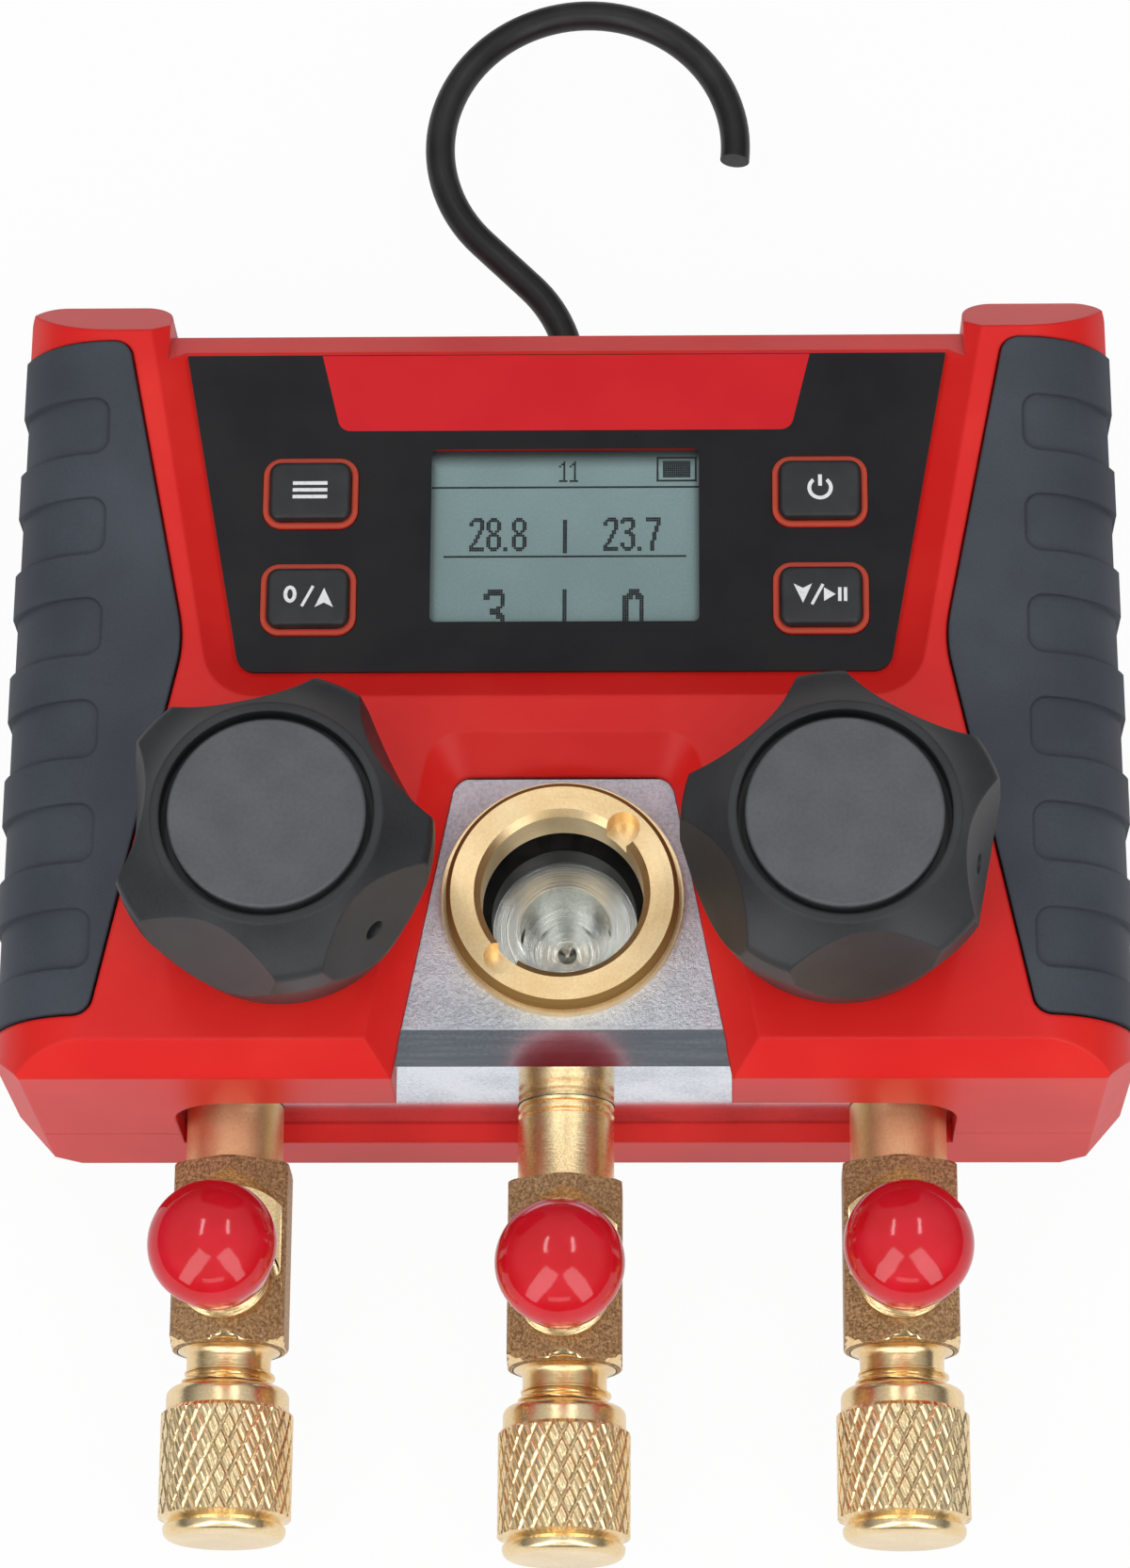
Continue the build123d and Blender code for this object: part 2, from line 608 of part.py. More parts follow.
with BuildPart() as battery_contacts:
    for side in (-1, 1):
        with Locations([(side * (box_half - CONTACT_THICK / 2), y, cell_z) for y in cell_rows]):
            Box(CONTACT_THICK, CONTACT_SIZE, CONTACT_SIZE)
battery_contacts.part.label = "battery_contacts"
export_step(battery_contacts.part, "parts/battery_contacts.step")

# ---- screws from the back ---------------------------------------------------------------
with BuildPart() as housing_screws:
    with BuildSketch(Plane.XY.offset(SCREW_SINK - SCREW_HEAD)):
        with Locations(screw_points):
            Circle(SCREW_HEAD_RADIUS)
    extrude(amount=SCREW_HEAD)
    with BuildSketch(Plane.XY.offset(SCREW_SINK)):
        with Locations(screw_points):
            Circle(SCREW_RADIUS)
    extrude(amount=PARTING + SCREW_BITE - SCREW_SINK)
housing_screws.part.label = "housing_screws"
export_step(housing_screws.part, "parts/housing_screws.step")

with BuildPart() as block_screws:
    with BuildSketch(Plane.XY.offset(SCREW_SINK - SCREW_HEAD)):
        with Locations(block_screw_points):
            Circle(SCREW_HEAD_RADIUS)
    extrude(amount=SCREW_HEAD)
    with BuildSketch(Plane.XY.offset(SCREW_SINK)):
        with Locations(block_screw_points):
            Circle(SCREW_RADIUS)
    extrude(amount=BLOCK_BACK + SCREW_BITE - SCREW_SINK)
block_screws.part.label = "block_screws"
export_step(block_screws.part, "parts/block_screws.step")

# ---- rubber grips: wrapped round the sides, with six sunken finger pads each ---------------
with BuildPart() as finger_pads:
    with BuildSketch():
        for i in range(PAD_COUNT):
            with Locations((PAD_INNER_X + HALF_WIDTH / 2, PAD_FIRST - PAD_PITCH * i - PAD_HEIGHT / 2)):
                RectangleRounded(HALF_WIDTH, PAD_HEIGHT, PAD_ROUND)
    extrude(amount=HOUSING_DEPTH + WALL)
    add(housing_form(PAD_DEPTH - GRIP_PROUD), mode=Mode.SUBTRACT)

with BuildPart() as right_grip:
    add(housing_form(-GRIP_PROUD))
    add(grip_region(0), mode=Mode.INTERSECT)
    add(grip_inside, mode=Mode.SUBTRACT)
    add(finger_pads.part, mode=Mode.SUBTRACT)
right_grip.part.label = "right_grip"
export_step(right_grip.part, "parts/right_grip.step")

with BuildPart() as left_grip:
    mirror(right_grip.part, about=Plane.YZ)
left_grip.part.label = "left_grip"
export_step(left_grip.part, "parts/left_grip.step")

# ---- display: printed overlay, clear window, module, board, keys --------------------------
with BuildPart() as display_overlay:
    add(trapezoid(Plane.XY.offset(FLOOR_Z), OVERLAY_TOP, OVERLAY_BOTTOM, OVERLAY_TOP_HALF,
                  OVERLAY_BOTTOM_HALF, bottom_round=OVERLAY_ROUND))
    extrude(amount=OVERLAY_THICK)
    with BuildSketch(Plane.XY.offset(FLOOR_Z)):
        key_outline(KEY_CLEARANCE + KEY_RIM + FIT)
        with Locations((0, window_middle)):
            Rectangle(2 * (WINDOW_HALF + FIT), WINDOW_TOP - WINDOW_BOTTOM + 2 * FIT)
    extrude(amount=OVERLAY_THICK, mode=Mode.SUBTRACT)
display_overlay.part.label = "display_overlay"
export_step(display_overlay.part, "parts/display_overlay.step")

with BuildPart() as display_window:
    with BuildSketch(Plane.XY.offset(OVERLAY_Z - WINDOW_THICK)):
        with Locations((0, window_middle)):
            Rectangle(2 * WINDOW_HALF, WINDOW_TOP - WINDOW_BOTTOM)
    extrude(amount=WINDOW_THICK)
display_window.part.label = "display_window"
export_step(display_window.part, "parts/display_window.step")

lcd_top = OVERLAY_Z - WINDOW_THICK - FIT
with BuildPart() as lcd_module:
    with BuildSketch(Plane.XY.offset(BOARD_TOP_Z)):
        with Locations((0, window_middle)):
            Rectangle(2 * (WINDOW_HALF + LCD_BORDER), WINDOW_TOP - WINDOW_BOTTOM + 2 * LCD_BORDER)
    extrude(amount=UNDER_FLOOR_Z - FIT - BOARD_TOP_Z)
    with BuildSketch(Plane.XY.offset(BOARD_TOP_Z)):
        with Locations((0, window_middle)):
            Rectangle(2 * WINDOW_HALF, WINDOW_TOP - WINDOW_BOTTOM)
    extrude(amount=lcd_top - BOARD_TOP_Z)
lcd_module.part.label = "lcd_module"
export_step(lcd_module.part, "parts/lcd_module.step")

board_bottom = OVERLAY_BOTTOM + BOARD_FOOT
board_height = HOUSING_TOP - BOARD_HEAD - board_bottom
with BuildPart() as circuit_board:
    with BuildSketch(Plane.XY.offset(BOARD_TOP_Z - BOARD_THICK)):
        with Locations((0, board_bottom + board_height / 2)):
            Rectangle(2 * BOARD_HALF, board_height)
    extrude(amount=BOARD_THICK)
circuit_board.part.label = "circuit_board"
export_step(circuit_board.part, "parts/circuit_board.step")

with BuildPart() as key_domes:
    with BuildSketch(Plane.XY.offset(BOARD_TOP_Z)):
        with Locations([(x, y) for x in (-KEY_X, KEY_X) for y in KEY_ROWS]):
            Circle(DOME_RADIUS)
    extrude(amount=DOME_HEIGHT, taper=DOME_TAPER)
key_domes.part.label = "key_domes"
export_step(key_domes.part, "parts/key_domes.step")

flange_top = UNDER_FLOOR_Z - FIT
flange_reach = KEY_FLANGE + KEY_CLEARANCE
key_foot = BOARD_TOP_Z + DOME_HEIGHT + KEY_TRAVEL + FIT
for side_name, x in (("left", -KEY_X), ("right", KEY_X)):
    for row_name, y in (("upper", KEY_ROWS[0]), ("lower", KEY_ROWS[1])):
        with BuildPart() as key:
            with BuildSketch(Plane.XY.offset(flange_top - KEY_FLANGE_THICK)):
                with Locations((x, y)):
                    RectangleRounded(KEY_SIZE[0] + 2 * flange_reach, KEY_SIZE[1] + 2 * flange_reach,
                                     KEY_ROUND)
            extrude(amount=KEY_FLANGE_THICK)
            with BuildSketch(Plane.XY.offset(flange_top)):
                with Locations((x, y)):
                    RectangleRounded(KEY_SIZE[0], KEY_SIZE[1], KEY_ROUND)
            extrude(amount=OVERLAY_Z + KEY_PROUD - flange_top)
            fillet(key.edges().group_by(Axis.Z)[-1], KEY_EDGE_ROUND)
            with BuildSketch(Plane.XY.offset(key_foot)):
                with Locations((x, y)):
                    Circle(DOME_RADIUS / 2)
            extrude(amount=flange_top - key_foot)
        key.part.label = f"{row_name}_{side_name}_key"
        export_step(key.part, f"parts/{row_name}_{side_name}_key.step")

# ---- manifold block ----------------------------------------------------------------------
port_places = (("left", -PORT_X, 0), ("middle", 0, MIDDLE_DROP), ("right", PORT_X, 0))
glass_bores = ((RING_THREAD_RADIUS + RUNNING_FIT, SEAT_Z), (CHAMBER_RADIUS, CHAMBER_Z),
               (CHAMBER_STEP_RADIUS, DRILL_POINT_Z))
valve_bores = ((BONNET_TAIL_RADIUS + RUNNING_FIT, BONNET_FOOT_Z),
               (PISTON_RADIUS + RUNNING_FIT, PISTON_BORE_Z))
with BuildPart() as manifold_block:
    block_middle = (BLOCK_TOP + BLOCK_BOTTOM) / 2
    with BuildSketch(Plane.XY.offset(BLOCK_BACK)):
        with Locations((0, block_middle)):
            Rectangle(2 * BLOCK_HALF, BLOCK_TOP - BLOCK_BOTTOM)
    extrude(amount=BLOCK_FRONT - BLOCK_BACK)
    lower_front_edge = manifold_block.edges().group_by(Axis.Z)[-1].sort_by(Axis.Y)[0]
    chamfer(lower_front_edge, BLOCK_CHAMFER)
    # sight glass seat and flow chamber
    for radius, low in glass_bores:
        with BuildSketch(Plane.XY.offset(low)):
            Circle(radius)
        extrude(amount=BLOCK_FRONT - low, mode=Mode.SUBTRACT)
    with Locations((0, 0, DRILL_POINT_Z)):
        Cone(0, DRILL_POINT_RADIUS, DRILL_POINT_DEPTH, align=(Align.CENTER, Align.CENTER, Align.MAX),
             mode=Mode.SUBTRACT)
    # valve bores
    for radius, low in valve_bores:
        with BuildSketch(Plane.XY.offset(low)):
            with Locations((-VALVE_X, 0), (VALVE_X, 0)):
                Circle(radius)
        extrude(amount=BLOCK_FRONT - low, mode=Mode.SUBTRACT)
    # gallery between the outer ports, and the way down to each port
    with BuildSketch(Plane.YZ.offset(-PORT_X)):
        with Locations((0, GALLERY_Z)):
            Circle(GALLERY_RADIUS)
    extrude(amount=2 * PORT_X, mode=Mode.SUBTRACT)
    with BuildSketch(Plane.XZ.offset(-BLOCK_BOTTOM)):
        with Locations((-PORT_X, PORT_Z), (0, PORT_Z), (PORT_X, PORT_Z)):
            Circle(PIPE_RADIUS + RUNNING_FIT)
    extrude(amount=-(PORT_TAIL + FIT), mode=Mode.SUBTRACT)
    with BuildSketch(Plane.XZ.offset(-BLOCK_BOTTOM)):
        with Locations((-PORT_X, PORT_Z), (PORT_X, PORT_Z)):
            Circle(PASSAGE_RADIUS)
    extrude(amount=BLOCK_BOTTOM, mode=Mode.SUBTRACT)
    with BuildSketch(Plane.XZ.offset(-BLOCK_BOTTOM)):
        with Locations((0, PORT_Z)):
            Circle(PASSAGE_RADIUS)
    extrude(amount=BLOCK_BOTTOM + CHAMBER_STEP_RADIUS, mode=Mode.SUBTRACT)
    # sensor seats in the upper face, screw holes in the back
    with BuildSketch(Plane.XZ.offset(-BLOCK_TOP)):
        with Locations((-SENSOR_X, SENSOR_Z), (SENSOR_X, SENSOR_Z)):
            Circle(SENSOR_TAIL_RADIUS)
    extrude(amount=SENSOR_TAIL + FIT, mode=Mode.SUBTRACT)
    with BuildSketch(Plane.XY.offset(BLOCK_BACK)):
        with Locations(block_screw_points):
            Circle(SCREW_RADIUS)
    extrude(amount=SCREW_BITE + FIT, mode=Mode.SUBTRACT)
manifold_block.part.label = "manifold_block"
export_step(manifold_block.part, "parts/manifold_block.step")

# ---- sight glass: brass ring, glass, rubber seal --------------------------------------------
ring_top = BLOCK_FRONT + RING_PROUD
with BuildPart() as sight_glass_ring:
    with BuildSketch(Plane.XZ):
        with BuildLine():
            Polyline((RING_BORE, LENS_TOP_Z), (RING_THREAD_RADIUS, LENS_TOP_Z),
                     (RING_THREAD_RADIUS, BLOCK_FRONT),
                     (RING_RADIUS, BLOCK_FRONT), (RING_RADIUS, BLOCK_FRONT + RING_FLANGE),
                     (RING_STEP_RADIUS, BLOCK_FRONT + RING_FLANGE),
                     (RING_STEP_RADIUS, ring_top - RING_STEP_RADIUS + RING_FACE_RADIUS),
                     (RING_FACE_RADIUS, ring_top), (RING_BORE + RING_BORE_CHAMFER, ring_top),
                     (RING_BORE, ring_top - RING_BORE_CHAMFER), close=True)
        make_face()
    revolve(axis=Axis.Z)
    with BuildSketch(Plane.XY.offset(ring_top - PIN_HOLE_DEPTH)):
        with PolarLocations(PIN_HOLE_CIRCLE, 2, start_angle=PIN_HOLE_ANGLE):
            Circle(PIN_HOLE_RADIUS)
    extrude(amount=PIN_HOLE_DEPTH, mode=Mode.SUBTRACT)
sight_glass_ring.part.label = "sight_glass_ring"
export_step(sight_glass_ring.part, "parts/sight_glass_ring.step")

with BuildPart() as sight_glass_lens:
    with BuildSketch(Plane.XY.offset(SEAL_TOP_Z)):
        Circle(RING_THREAD_RADIUS - FIT)
    extrude(amount=LENS_THICK)
sight_glass_lens.part.label = "sight_glass_lens"
export_step(sight_glass_lens.part, "parts/sight_glass_lens.step")

with BuildPart() as sight_glass_seal:
    with BuildSketch(Plane.XY.offset(SEAT_Z)):
        Circle(RING_THREAD_RADIUS - FIT)
        Circle(SEAL_BORE, mode=Mode.SUBTRACT)
    extrude(amount=SEAL_THICK)
sight_glass_seal.part.label = "sight_glass_seal"
export_step(sight_glass_seal.part, "parts/sight_glass_seal.step")

# ---- valve pieces, drawn on the Z axis -------------------------------------------------------
with BuildPart() as bonnet:
    with BuildSketch(Plane.XY.offset(BONNET_FOOT_Z)):
        Circle(BONNET_TAIL_RADIUS)
    extrude(amount=BONNET_TAIL)
    with BuildSketch(Plane.XY.offset(BLOCK_FRONT)):
        RegularPolygon(BONNET_HEX / 2, 6, major_radius=False)
    extrude(amount=BLOCK_SINK)
    with BuildSketch(Plane.XY.offset(HOUSING_DEPTH)):
        Circle(BONNET_NECK_RADIUS)
    extrude(amount=BONNET_PROUD)
    chamfer(bonnet.edges().group_by(Axis.Z)[-1], BONNET_HOLE_GAP)
    with BuildSketch(Plane.XY.offset(BONNET_FOOT_Z)):
        Circle(SPINDLE_RADIUS + RUNNING_FIT)
    extrude(amount=FAR, mode=Mode.SUBTRACT)
    with BuildSketch(Plane.XY.offset(BONNET_FOOT_Z)):
        Circle(PACKING_RADIUS)
    extrude(amount=PACKING_HEIGHT, mode=Mode.SUBTRACT)

with BuildPart() as stem_packing:
    with BuildSketch(Plane.XY.offset(BONNET_FOOT_Z)):
        Circle(PACKING_RADIUS - RUNNING_FIT)
        Circle(SPINDLE_RADIUS + RUNNING_FIT, mode=Mode.SUBTRACT)
    extrude(amount=PACKING_HEIGHT)

ring_centre_radius = PISTON_RADIUS - PISTON_RING_SECTION
# the ring grooves leave equal lands below, between and above them
piston_land = (PISTON_TOP_Z - PISTON_Z - PISTON_RINGS * PISTON_GROOVE) / (PISTON_RINGS + 1)
ring_pitch = piston_land + PISTON_GROOVE
ring_heights = [PISTON_Z + ring_pitch * (i + 1) - PISTON_GROOVE / 2 for i in range(PISTON_RINGS)]
with BuildPart() as piston:
    with BuildSketch(Plane.XZ):
        with BuildLine():
            Polyline((0, PISTON_Z - PISTON_NOSE), (PISTON_NOSE_RADIUS, PISTON_Z - PISTON_NOSE),
                     (PISTON_RADIUS, PISTON_Z), (PISTON_RADIUS, PISTON_TOP_Z), (0, PISTON_TOP_Z), close=True)
        make_face()
        with Locations([(PISTON_RADIUS, z) for z in ring_heights]):
            Rectangle(4 * PISTON_RING_SECTION, PISTON_GROOVE, mode=Mode.SUBTRACT)
    revolve(axis=Axis.Z)

with BuildPart() as piston_rings:
    with BuildSketch(Plane.XZ):
        with Locations([(ring_centre_radius, z) for z in ring_heights]):
            Circle(PISTON_RING_SECTION)
    revolve(axis=Axis.Z)

spindle_top = KNOB_Z + SPINDLE_IN_KNOB
with BuildPart() as spindle:
    with BuildSketch(Plane.XY.offset(PISTON_TOP_Z)):
        Circle(SPINDLE_RADIUS)
    extrude(amount=spindle_top - PISTON_TOP_Z)
    chamfer(spindle.edges().group_by(Axis.Z)[-1], BONNET_HOLE_GAP)

# ---- hand knob: five scallops, hollow underside, face insert, set screw ------------------------
# The scallops are leaning round cuts, deepest at the rim.
widest_z = KNOB_TOP_Z - KNOB_SHOULDER
scallop_step = 360 / SCALLOP_COUNT
with BuildPart() as scallops:
    for i in range(SCALLOP_COUNT):
        turned = Location((0, 0, 0), (0, 0, SCALLOP_START + scallop_step * i))
        foot = Location((SCALLOP_WAIST + SCALLOP_RADIUS, 0, widest_z), (0, -SCALLOP_TILT, 0))
        with BuildSketch(Plane(turned * foot)):
            Circle(SCALLOP_RADIUS)
        extrude(amount=KNOB_HEIGHT * 2, both=True)

screw_turn = Location((0, 0, KNOB_Z + SET_SCREW_HEIGHT), (0, 0, SCALLOP_START - scallop_step))
screw_plane = Plane(screw_turn * Location((0, 0, 0), (0, 90, 0)))
with BuildPart() as knob:
    with BuildSketch(Plane.XZ) as section:
        with BuildLine():
            Line((0, KNOB_TOP_Z), (RIM_OUTER, KNOB_TOP_Z))
            SagittaArc((RIM_OUTER, KNOB_TOP_Z), (KNOB_RADIUS, widest_z), -KNOB_SHOULDER_SAG)
            Polyline((KNOB_RADIUS, widest_z), (KNOB_RADIUS, widest_z - KNOB_WIDE_BAND),
                     (KNOB_BASE_RADIUS, KNOB_Z), (0, KNOB_Z), (0, KNOB_TOP_Z))
        make_face()
        fillet(section.vertices().sort_by(Axis.X)[-2:].sort_by(Axis.Y)[-1], KNOB_EDGE_ROUND)
    revolve(axis=Axis.Z)
    add(scallops.part, mode=Mode.SUBTRACT)
    # pocket and peg hole for the insert
    with BuildSketch(Plane.XY.offset(KNOB_TOP_Z - INSERT_THICK)):
        Circle(RIM_INNER)
    extrude(amount=INSERT_THICK, mode=Mode.SUBTRACT)
    with BuildSketch(Plane.XY.offset(KNOB_TOP_Z - INSERT_THICK)):
        Circle(INSERT_PEG_RADIUS + RUNNING_FIT)
    extrude(amount=-INSERT_PEG - FIT, mode=Mode.SUBTRACT)
    # hollow underside round the hub
    with BuildSketch(Plane.XY.offset(KNOB_Z)):
        Circle(KNOB_BASE_RADIUS - SKIRT_WALL)
        Circle(HUB_RADIUS, mode=Mode.SUBTRACT)
    extrude(amount=HOLLOW_DEPTH, mode=Mode.SUBTRACT)
    with BuildSketch(Plane.XY.offset(KNOB_Z)):
        Circle(SPINDLE_RADIUS + RUNNING_FIT)
    extrude(amount=SPINDLE_IN_KNOB + FIT, mode=Mode.SUBTRACT)
    # set screw hole from the last scallop to the spindle
    with BuildSketch(screw_plane):
        Circle(SET_SCREW_RADIUS)
    extrude(amount=KNOB_RADIUS, mode=Mode.SUBTRACT)

with BuildPart() as knob_insert:
    with BuildSketch(Plane.XY.offset(KNOB_TOP_Z - INSERT_THICK)):
        Circle(INSERT_RADIUS)
    extrude(amount=INSERT_THICK)
    fillet(knob_insert.edges().group_by(Axis.Z)[-1], INSERT_ROUND)
    with BuildSketch(Plane.XY.offset(KNOB_TOP_Z - INSERT_THICK)):
        Circle(INSERT_PEG_RADIUS)
    extrude(amount=-INSERT_PEG)

with BuildPart() as knob_set_screw:
    with BuildSketch(screw_plane.offset(SPINDLE_RADIUS)):
        Circle(SET_SCREW_RADIUS - RUNNING_FIT)
    extrude(amount=SET_SCREW_LENGTH)

valve_pieces = (("valve_bonnet", bonnet), ("stem_packing", stem_packing), ("valve_piston", piston),
                ("piston_rings", piston_rings), ("valve_spindle", spindle), ("knob", knob),
                ("knob_insert", knob_insert), ("knob_set_screw", knob_set_screw))
for side_name, x, turn in (("left", -VALVE_X, 0), ("right", VALVE_X, RIGHT_KNOB_TURN)):
    for name, piece in valve_pieces:
        with BuildPart() as placed:
            add(piece.part.moved(Location((x, 0, 0), (0, 0, turn))))
        placed.part.label = f"{side_name}_{name}"
        export_step(placed.part, f"parts/{side_name}_{name}.step")

# ---- port fittings: brass tees with a side branch, valve cores, caps ----------------------------
# Each is drawn with its port axis along -Y from the block face, then moved to its port.
tee_top = PIPE_LENGTH
tee_end = tee_top + TEE_LENGTH
thread_end = tee_end + NECK_LENGTH + THREAD_LENGTH
branch_y = tee_top + BRANCH_DROP
port_plane = Plane(origin=(0, BLOCK_BOTTOM, PORT_Z), x_dir=(1, 0, 0), z_dir=(0, -1, 0))
branch_plane = Plane(origin=(0, BLOCK_BOTTOM - branch_y, PORT_Z), z_dir=(0, 0, 1))
tee_corner = TEE_FLATS * HEX_CORNER
with BuildPart() as turned_end:
    with BuildSketch(port_plane.offset(tee_top)):
        Circle(tee_corner)
    extrude(amount=TEE_LENGTH - TEE_CHAMFER)
    with BuildSketch(port_plane.offset(tee_end - TEE_CHAMFER)):
        Circle(tee_corner)
    extrude(amount=TEE_CHAMFER, taper=45)

with BuildPart() as tee_body:
    with BuildSketch(port_plane.offset(tee_top)):
        RegularPolygon(TEE_FLATS / 2, 6, major_radius=False, rotation=90)
    extrude(amount=TEE_LENGTH)
    add(turned_end.part, mode=Mode.INTERSECT)
    with BuildSketch(port_plane.offset(-PORT_TAIL)):
        Circle(PIPE_RADIUS)
    extrude(amount=PORT_TAIL + tee_top)
    # flat spot round the branch, then the branch
    with BuildSketch(branch_plane.offset(tee_corner - SPOT_DEPTH)):
        Circle(SPOT_RADIUS)
    extrude(amount=SPOT_DEPTH * 2, mode=Mode.SUBTRACT)
    with BuildSketch(branch_plane):
        Circle(THREAD_RADIUS)
    extrude(amount=BRANCH_TOP)
    # neck, male flare thread and nose
    with BuildSketch(port_plane.offset(tee_end)):
        Circle(NECK_RADIUS)
    extrude(amount=NECK_LENGTH)
    with BuildSketch(port_plane.offset(tee_end + NECK_LENGTH)):
        Circle(THREAD_RADIUS)
    extrude(amount=THREAD_LENGTH)
    with BuildSketch(port_plane.offset(thread_end)):
        Circle(THREAD_RADIUS)
    with BuildSketch(port_plane.offset(thread_end + NOSE_LENGTH)):
        Circle(NOSE_RADIUS)
    loft()
    # flow passage, and the hole for the valve core
    with BuildSketch(port_plane.offset(-PORT_TAIL)):
        Circle(FLOW_RADIUS)
    extrude(amount=FAR, mode=Mode.SUBTRACT)
    with BuildSketch(branch_plane):
        Circle(CORE_RADIUS)
    extrude(amount=FAR, mode=Mode.SUBTRACT)

with BuildPart() as valve_core:
    with BuildSketch(branch_plane.offset(BRANCH_TOP - FIT)):
        Circle(CORE_RADIUS)
    extrude(amount=-CORE_LENGTH)

cap_start = tee_end + CAP_START
cap_end = cap_start + CAP_LENGTH
seal_start = thread_end + NOSE_LENGTH + FIT
seal_end = seal_start + CAP_SEAL_THICK
knurl_start = cap_start + CAP_COLLAR
knurl_end = knurl_start + CAP_KNURL
groove_end = knurl_end + CAP_GROOVE * 2
cap_bore = THREAD_RADIUS + THREAD_FIT
with BuildPart() as knurled_cap:
    with BuildSketch(Plane.XZ) as section:
        with BuildLine():
            Polyline((cap_bore, cap_start), (CAP_COLLAR_RADIUS, cap_start), (CAP_COLLAR_RADIUS, knurl_start),
                     (CAP_RADIUS, knurl_start + CAP_GROOVE), (CAP_RADIUS, knurl_end),
                     (CAP_RADIUS - CAP_GROOVE_DEPTH - CAP_GROOVE, knurl_end + CAP_GROOVE),
                     (CAP_END_RADIUS, groove_end), (CAP_END_RADIUS, cap_end), (0, cap_end),
                     (0, seal_end), (cap_bore, seal_end), close=True)
        make_face()
        fillet(section.vertices().group_by(Axis.Y)[-1].sort_by(Axis.X)[-1], CAP_END_ROUND)
        fillet(section.vertices().group_by(Axis.Y)[0].sort_by(Axis.X)[-1], CAP_END_ROUND)
    revolve(axis=Axis.Z)

with BuildPart() as cap_seal:
    with BuildSketch(Plane.XY.offset(seal_start)):
        Circle(CAP_SEAL_RADIUS)
    extrude(amount=CAP_SEAL_THICK)

dust_inside = BRANCH_TOP + FIT
dust_top = dust_inside + DUST_TOP_WALL
dust_foot = dust_top - DUST_LENGTH
# the edge round meets the crown where their common normal leans by this sine
crown_z = dust_top - DUST_CROWN
lean_sine = (DUST_RADIUS - DUST_ROUND) / (DUST_CROWN - DUST_ROUND)
lean_cosine = (1 - lean_sine ** 2) ** 0.5
round_z = crown_z + (DUST_CROWN - DUST_ROUND) * lean_cosine
meet = (DUST_CROWN * lean_sine, crown_z + DUST_CROWN * lean_cosine)
with BuildPart() as dust_cap:
    with BuildSketch(Plane.XZ):
        with BuildLine():
            Polyline((0, dust_top), (0, dust_inside), (cap_bore, dust_inside), (cap_bore, dust_foot),
                     (DUST_RADIUS, dust_foot), (DUST_RADIUS, round_z))
            RadiusArc((DUST_RADIUS, round_z), meet, -DUST_ROUND)
            RadiusArc(meet, (0, dust_top), -DUST_CROWN)
        make_face()
    revolve(axis=Axis.Z)

cap_turn = Location((0, BLOCK_BOTTOM, PORT_Z), (90, 0, 0))
dust_seat = Location((0, BLOCK_BOTTOM - branch_y, PORT_Z))
port_pieces = (("tee_fitting", tee_body, Location()), ("valve_core", valve_core, Location()),
               ("knurled_cap", knurled_cap, cap_turn), ("cap_seal", cap_seal, cap_turn),
               ("dust_cap", dust_cap, dust_seat))
for port_name, x, drop in port_places:
    for name, piece, seat in port_pieces:
        with BuildPart() as placed:
            add(piece.part.moved(Location((x, -drop, 0)) * seat))
        placed.part.label = f"{port_name}_{name}"
        export_step(placed.part, f"parts/{port_name}_{name}.step")

# ---- pressure sensors ------------------------------------------------------------------------------
for side_name, x in (("left", -SENSOR_X), ("right", SENSOR_X)):
    sensor_plane = Plane(origin=(x, BLOCK_TOP, SENSOR_Z), x_dir=(1, 0, 0), z_dir=(0, 1, 0))
    with BuildPart() as sensor:
        with BuildSketch(sensor_plane):
            Circle(SENSOR_TAIL_RADIUS - RUNNING_FIT)
        extrude(amount=-SENSOR_TAIL)
        with BuildSketch(sensor_plane):
            RegularPolygon(SENSOR_FLATS / 2, 6, major_radius=False)
        extrude(amount=SENSOR_HEX_LENGTH)
        with BuildSketch(sensor_plane.offset(SENSOR_HEX_LENGTH)):
            Circle(SENSOR_RADIUS)
        extrude(amount=SENSOR_LENGTH - SENSOR_HEX_LENGTH)
    sensor.part.label = f"{side_name}_pressure_sensor"
    export_step(sensor.part, f"parts/{side_name}_pressure_sensor.step")

# ---- swivel hook ----------------------------------------------------------------------------------
with BuildPart() as hook:
    with BuildLine(Plane.XY.offset(HOOK_Z)) as path:
        stem = Line((0, HOOK_STEM_START), (0, HOOK_STEM_END))
        bend = JernArc(stem @ 1, stem % 1, HOOK_BEND_RADIUS, HOOK_BEND_ANGLE)
        straight = Line(bend @ 1, bend @ 1 + (bend % 1) * HOOK_STRAIGHT)
        JernArc(straight @ 1, straight % 1, HOOK_LOOP_RADIUS, -HOOK_LOOP_ANGLE)
    with BuildSketch(Plane(origin=(0, HOOK_STEM_START, HOOK_Z), z_dir=(0, 1, 0))):
        Circle(WIRE_RADIUS)
    sweep()
hook.part.label = "hook"
export_step(hook.part, "parts/hook.step")

inside_top = HOUSING_TOP - WALL
with BuildPart() as hook_bush:
    with BuildSketch(Plane(origin=(0, inside_top - BUSH_FLANGE, HOOK_Z), z_dir=(0, 1, 0))):
        Circle(BUSH_FLANGE_RADIUS)
    extrude(amount=BUSH_FLANGE)
    with BuildSketch(Plane(origin=(0, inside_top, HOOK_Z), z_dir=(0, 1, 0))):
        Circle(BUSH_RADIUS)
    extrude(amount=WALL)
    with BuildSketch(Plane(origin=(0, HOUSING_TOP, HOOK_Z), z_dir=(0, 1, 0))):
        Circle(BUSH_FLANGE_RADIUS)
    extrude(amount=BUSH_FLANGE)
    with BuildSketch(Plane(origin=(0, inside_top - BUSH_FLANGE, HOOK_Z), z_dir=(0, 1, 0))):
        Circle(WIRE_RADIUS + RUNNING_FIT)
    extrude(amount=FAR, mode=Mode.SUBTRACT)
hook_bush.part.label = "hook_bush"
export_step(hook_bush.part, "parts/hook_bush.step")

